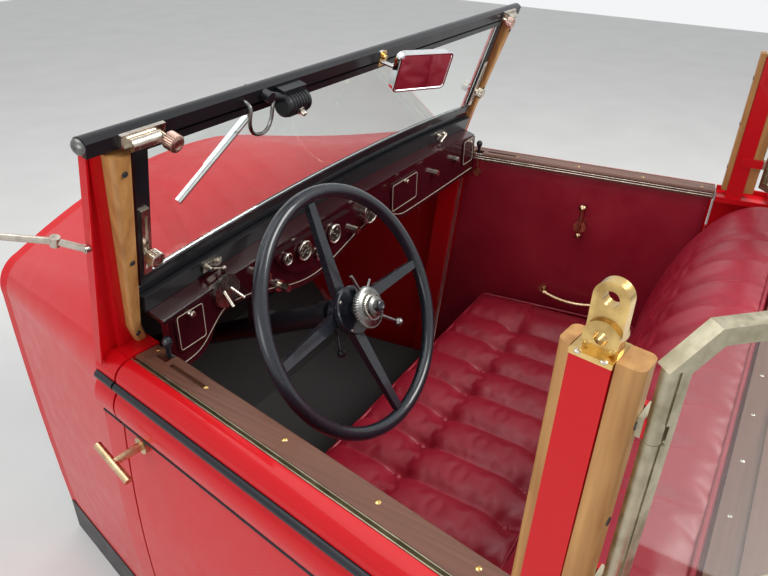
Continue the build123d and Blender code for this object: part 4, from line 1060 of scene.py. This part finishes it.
def dial(name, x, y, z, radius, texts, pointer):
    """Bezel, face and marks of a dial; its pointer stands at an angle in degrees."""
    place = near((x, y, z), (0, 1, 0))
    inside, outside = radius - 0.0030, radius + 0.0006
    bezel = turned([(inside, 0.0002), (inside, 0.0018), (radius - 0.0012, 0.0030), (outside, 0.0016),
                    (outside, -0.0020), (inside, -0.0020), (inside, 0.0002)], 40)
    piece(name + "_bezel", bezel, nickel, place)
    face = turned([(0.0, 0.0004), (inside, 0.0004), (inside, -0.0003), (0.0, -0.0003)], 40)
    piece(name + "_face", face, dial_black, place)
    marks = figures(texts, radius * 0.52, radius * 0.27)

    def mark(degrees, start, end, lift, *size):
        angle = math.radians(degrees)
        way = Vector((math.cos(angle), math.sin(angle), 0)) * radius
        up = Vector((0, 0, lift))
        add_rod(marks, way * start + up, way * end + up, *size, segments=6)

    spaces = 4 * (len(texts) - 1)
    for number in range(spaces + 1):
        mark(225 - 270 * number / spaces, 0.76 if number % 4 else 0.70, 0.83, 0.0006, 0.00028)
    mark(pointer, -0.15, 0.66, 0.0012, 0.0006, 0.0002)
    piece(name + "_marks", marks, dial_white, place)


for name, x, y, z, radius, texts, pointer in (
        ("speed_dial", 0.229, 0.0203, 0.895, 0.0200, "0 10 20 30 40 50 60", 210),
        ("oil_dial", 0.129, 0.0203, 0.891, 0.0200, "0 20 40 60", 150),
        ("charge_dial", 0.281, 0.0203, 0.899, 0.0120, "20 0 20", 95),
        ("fuel_dial", 0.181, 0.0203, 0.865, 0.0120, "0 2 4", 120),
        ("clock", -0.005, 0.0223, 0.892, 0.0270, "1 3 5 7 9 11", 60)):
    dial(name, x, y, z, radius, texts.split(), pointer)
print("five dials")

# %% [markdown]
# ## Stripes and lids of the dash
# A thin pale line follows the S-curved lower edge of the dash and rings the cubby lids. Each
# line is a hair-thin tube laid on the lacquer, following the same humps as the CAD edge.

# %% Pinstripes
humps = [(0.525, 0.808), (0.430, 0.866), (0.190, 0.808), (-0.045, 0.853), (-0.190, 0.808)]
stripe_points = [(0.556, 0.0083, 0.818)]
for (x0, z0), (x1, z1) in zip(humps, humps[1:]):
    for t in (0.0, 0.25, 0.5, 0.75):
        rise = (1 - math.cos(math.pi * t)) / 2
        stripe_points.append((x0 + (x1 - x0) * t, 0.0083, z0 + (z1 - z0) * rise + 0.010))
stripe_points += [(-0.190, 0.0083, 0.818), (-0.560, 0.0083, 0.818)]
piece("dash_stripe", tube(stripe_points, 0.0007, round_steps=1), dial_white)
for name, x0, x1 in (("left", 0.490, 0.556), ("middle", -0.236, -0.112), ("right", -0.556, -0.490)):
    middle, half = (x0 + x1) / 2, (x1 - x0) / 2
    line = [(middle + x, 0.0113, 0.878 + y) for x, y, z in rounded_line(half - 0.005, 0.032, 0.010, 0)]
    piece("lid_stripe_" + name, tube(line, 0.0006, cyclic=True, round_steps=1), dial_white)
    knob = turned([(0.0, 0.010), (0.004, 0.0095), (0.0055, 0.007), (0.0035, 0.003), (0.0050, 0.0),
                   (0.0, 0.0)], 20)
    piece("lid_knob_" + name, knob, nickel, near((middle, 0.0110, 0.905), (0, 1, 0)))
print("pinstripes and lid knobs")

# %% [markdown]
# ## Hub of the steering wheel
# The control head stands still while the wheel turns. A toothed quadrant holds the throttle and
# spark levers in steps, and the stepped dome ends in a horn button. Knurled and turned rings
# laid round the CAD discs give the teeth and bright edges.

# %% Hub details
for name, radius, tall, z, teeth, finish in (
        ("quadrant", 0.0372, 0.0030, 0.0288, 44, dark_nickel),
        ("dome_ring", 0.0240, 0.0030, 0.0355, 40, nickel),
        ("dome_cap", 0.0186, 0.0028, 0.0440, 30, dark_nickel),
        ("horn_button", 0.0094, 0.0030, 0.0560, 24, wheel_black)):
    piece("hub_" + name, knurled(radius, tall, teeth), finish, COLUMN @ at(0, 0, z))
collar = turned([(0.0420, -0.0125), (0.0428, -0.0110), (0.0428, -0.0020), (0.0410, 0.0006),
                 (0.0330, 0.0006), (0.0330, -0.0125), (0.0420, -0.0125)], 48)
piece("hub_collar", collar, wheel_black, COLUMN, "steering_wheel")
bolt_places = [COLUMN @ Matrix.Rotation(math.radians(45 + 90 * n), 4, "Z")
               @ at(0.0372, 0, 0.0008) for n in range(4)]
piece("hub_bolts", gathered(screw_head(0.0032), bolt_places), nickel, body="steering_wheel")
print("hub rings, collar and bolts")

# %% [markdown]
# ## Small covers
# The hinge arms of the glass wings are cased in the wings' own metal, the lock levers on the
# doors have black grips, and each post's top plate has two screws. Thin shells laid over the
# CAD pieces give each of them its own finish.

# %% Small covers
for side, place in sides:
    arms = bmesh.new()
    for z in (belt + 0.082, belt + 0.280):
        x = -0.0850 - 0.014 * (z - belt) / 0.333
        bmesh.ops.create_cube(arms, size=1.0,
                              matrix=at((x - 0.0719) / 2, 0.7822, z)
                              @ Matrix.Diagonal((-0.0719 - x + 0.0008, 0.0052, 0.0202, 1)))
        add_rod(arms, (-0.076, 0.793, z - 0.0101), (-0.076, 0.793, z + 0.0101), 0.0073, segments=28)
    piece("wing_arm_covers_" + side, arms, olive_nickel, place)
    grip = turned([(0.0, 0.034), (0.0050, 0.0325), (0.0080, 0.028), (0.0086, 0.0235), (0.0070, 0.018),
                   (0.0046, 0.014), (0.0040, 0.004), (0.0046, -0.004), (0.0, -0.004)], 28)
    piece("lock_grip_" + side, grip, wheel_black, place @ at(-0.0803, 0.067, belt), "door_" + side)
    spots = [at(-0.0560, y, belt + 0.3383) for y in (0.737 - 0.011, 0.737 + 0.011)]
    piece("plate_screws_" + side, gathered(screw_head(0.0032), spots), nickel, place)
print("arm covers, grips and plate screws")

# %% [markdown]
# ## Trim behind the front seat
# Passengers in the rear look at this wall, so both recesses are lined: a carpet panel below in a
# hide border, held by a nickel bead. Rounded plates laid into the recesses and a tube round
# each of them do it.

# %% Trim behind the front seat
for name, x in (("left", 0.325), ("right", -0.325)):
    wall_place = near((x, 0.8455, 0.480), (0, 1, 0))
    piece("wall_panel_" + name, plate(0.556, 0.545, 0.008, 0.030), leather, wall_place)
    piece("wall_carpet_" + name, plate(0.486, 0.475, 0.0115, 0.022), carpet, wall_place)
    bead = tube(rounded_line(0.246, 0.240, 0.026, 0.0105), 0.0032, cyclic=True)
    piece("wall_bead_" + name, bead, nickel, wall_place)
    heads = [wall_place @ at(0.262 * across, 0.256 * up, 0.0085)
             for across in (-1, 0, 1) for up in (-1, 1)]
    piece("wall_screws_" + name, gathered(screw_head(0.0040), heads), nickel)
print("two trim panels")

# %% [markdown]
# ## Pedal pads
# The pedals wear ribbed rubber pads. One plate with five ribs is copied to the three pedals,
# each turned as its CAD pad is.

# %% Pedal pads
pad = plate(0.052, 0.060, 0.005, 0.008)
for number in range(5):
    y = -0.022 + 0.011 * number
    add_rod(pad, (-0.022, y, 0.005), (0.022, y, 0.005), 0.0024, segments=10)
pad_turn = Matrix.Rotation(math.radians(52), 4, "X") @ Matrix.Rotation(math.pi, 4, "X")
pad_places = [at(column_x + across, -0.428, 0.250 + high) @ pad_turn
              @ at(0, 0, 0.0061)
              for across, high in ((-0.095, 0.070), (-0.010, 0.095), (0.095, 0.095))]
piece("pedal_pads", gathered(pad, pad_places), rubber)
print("three pedal pads")
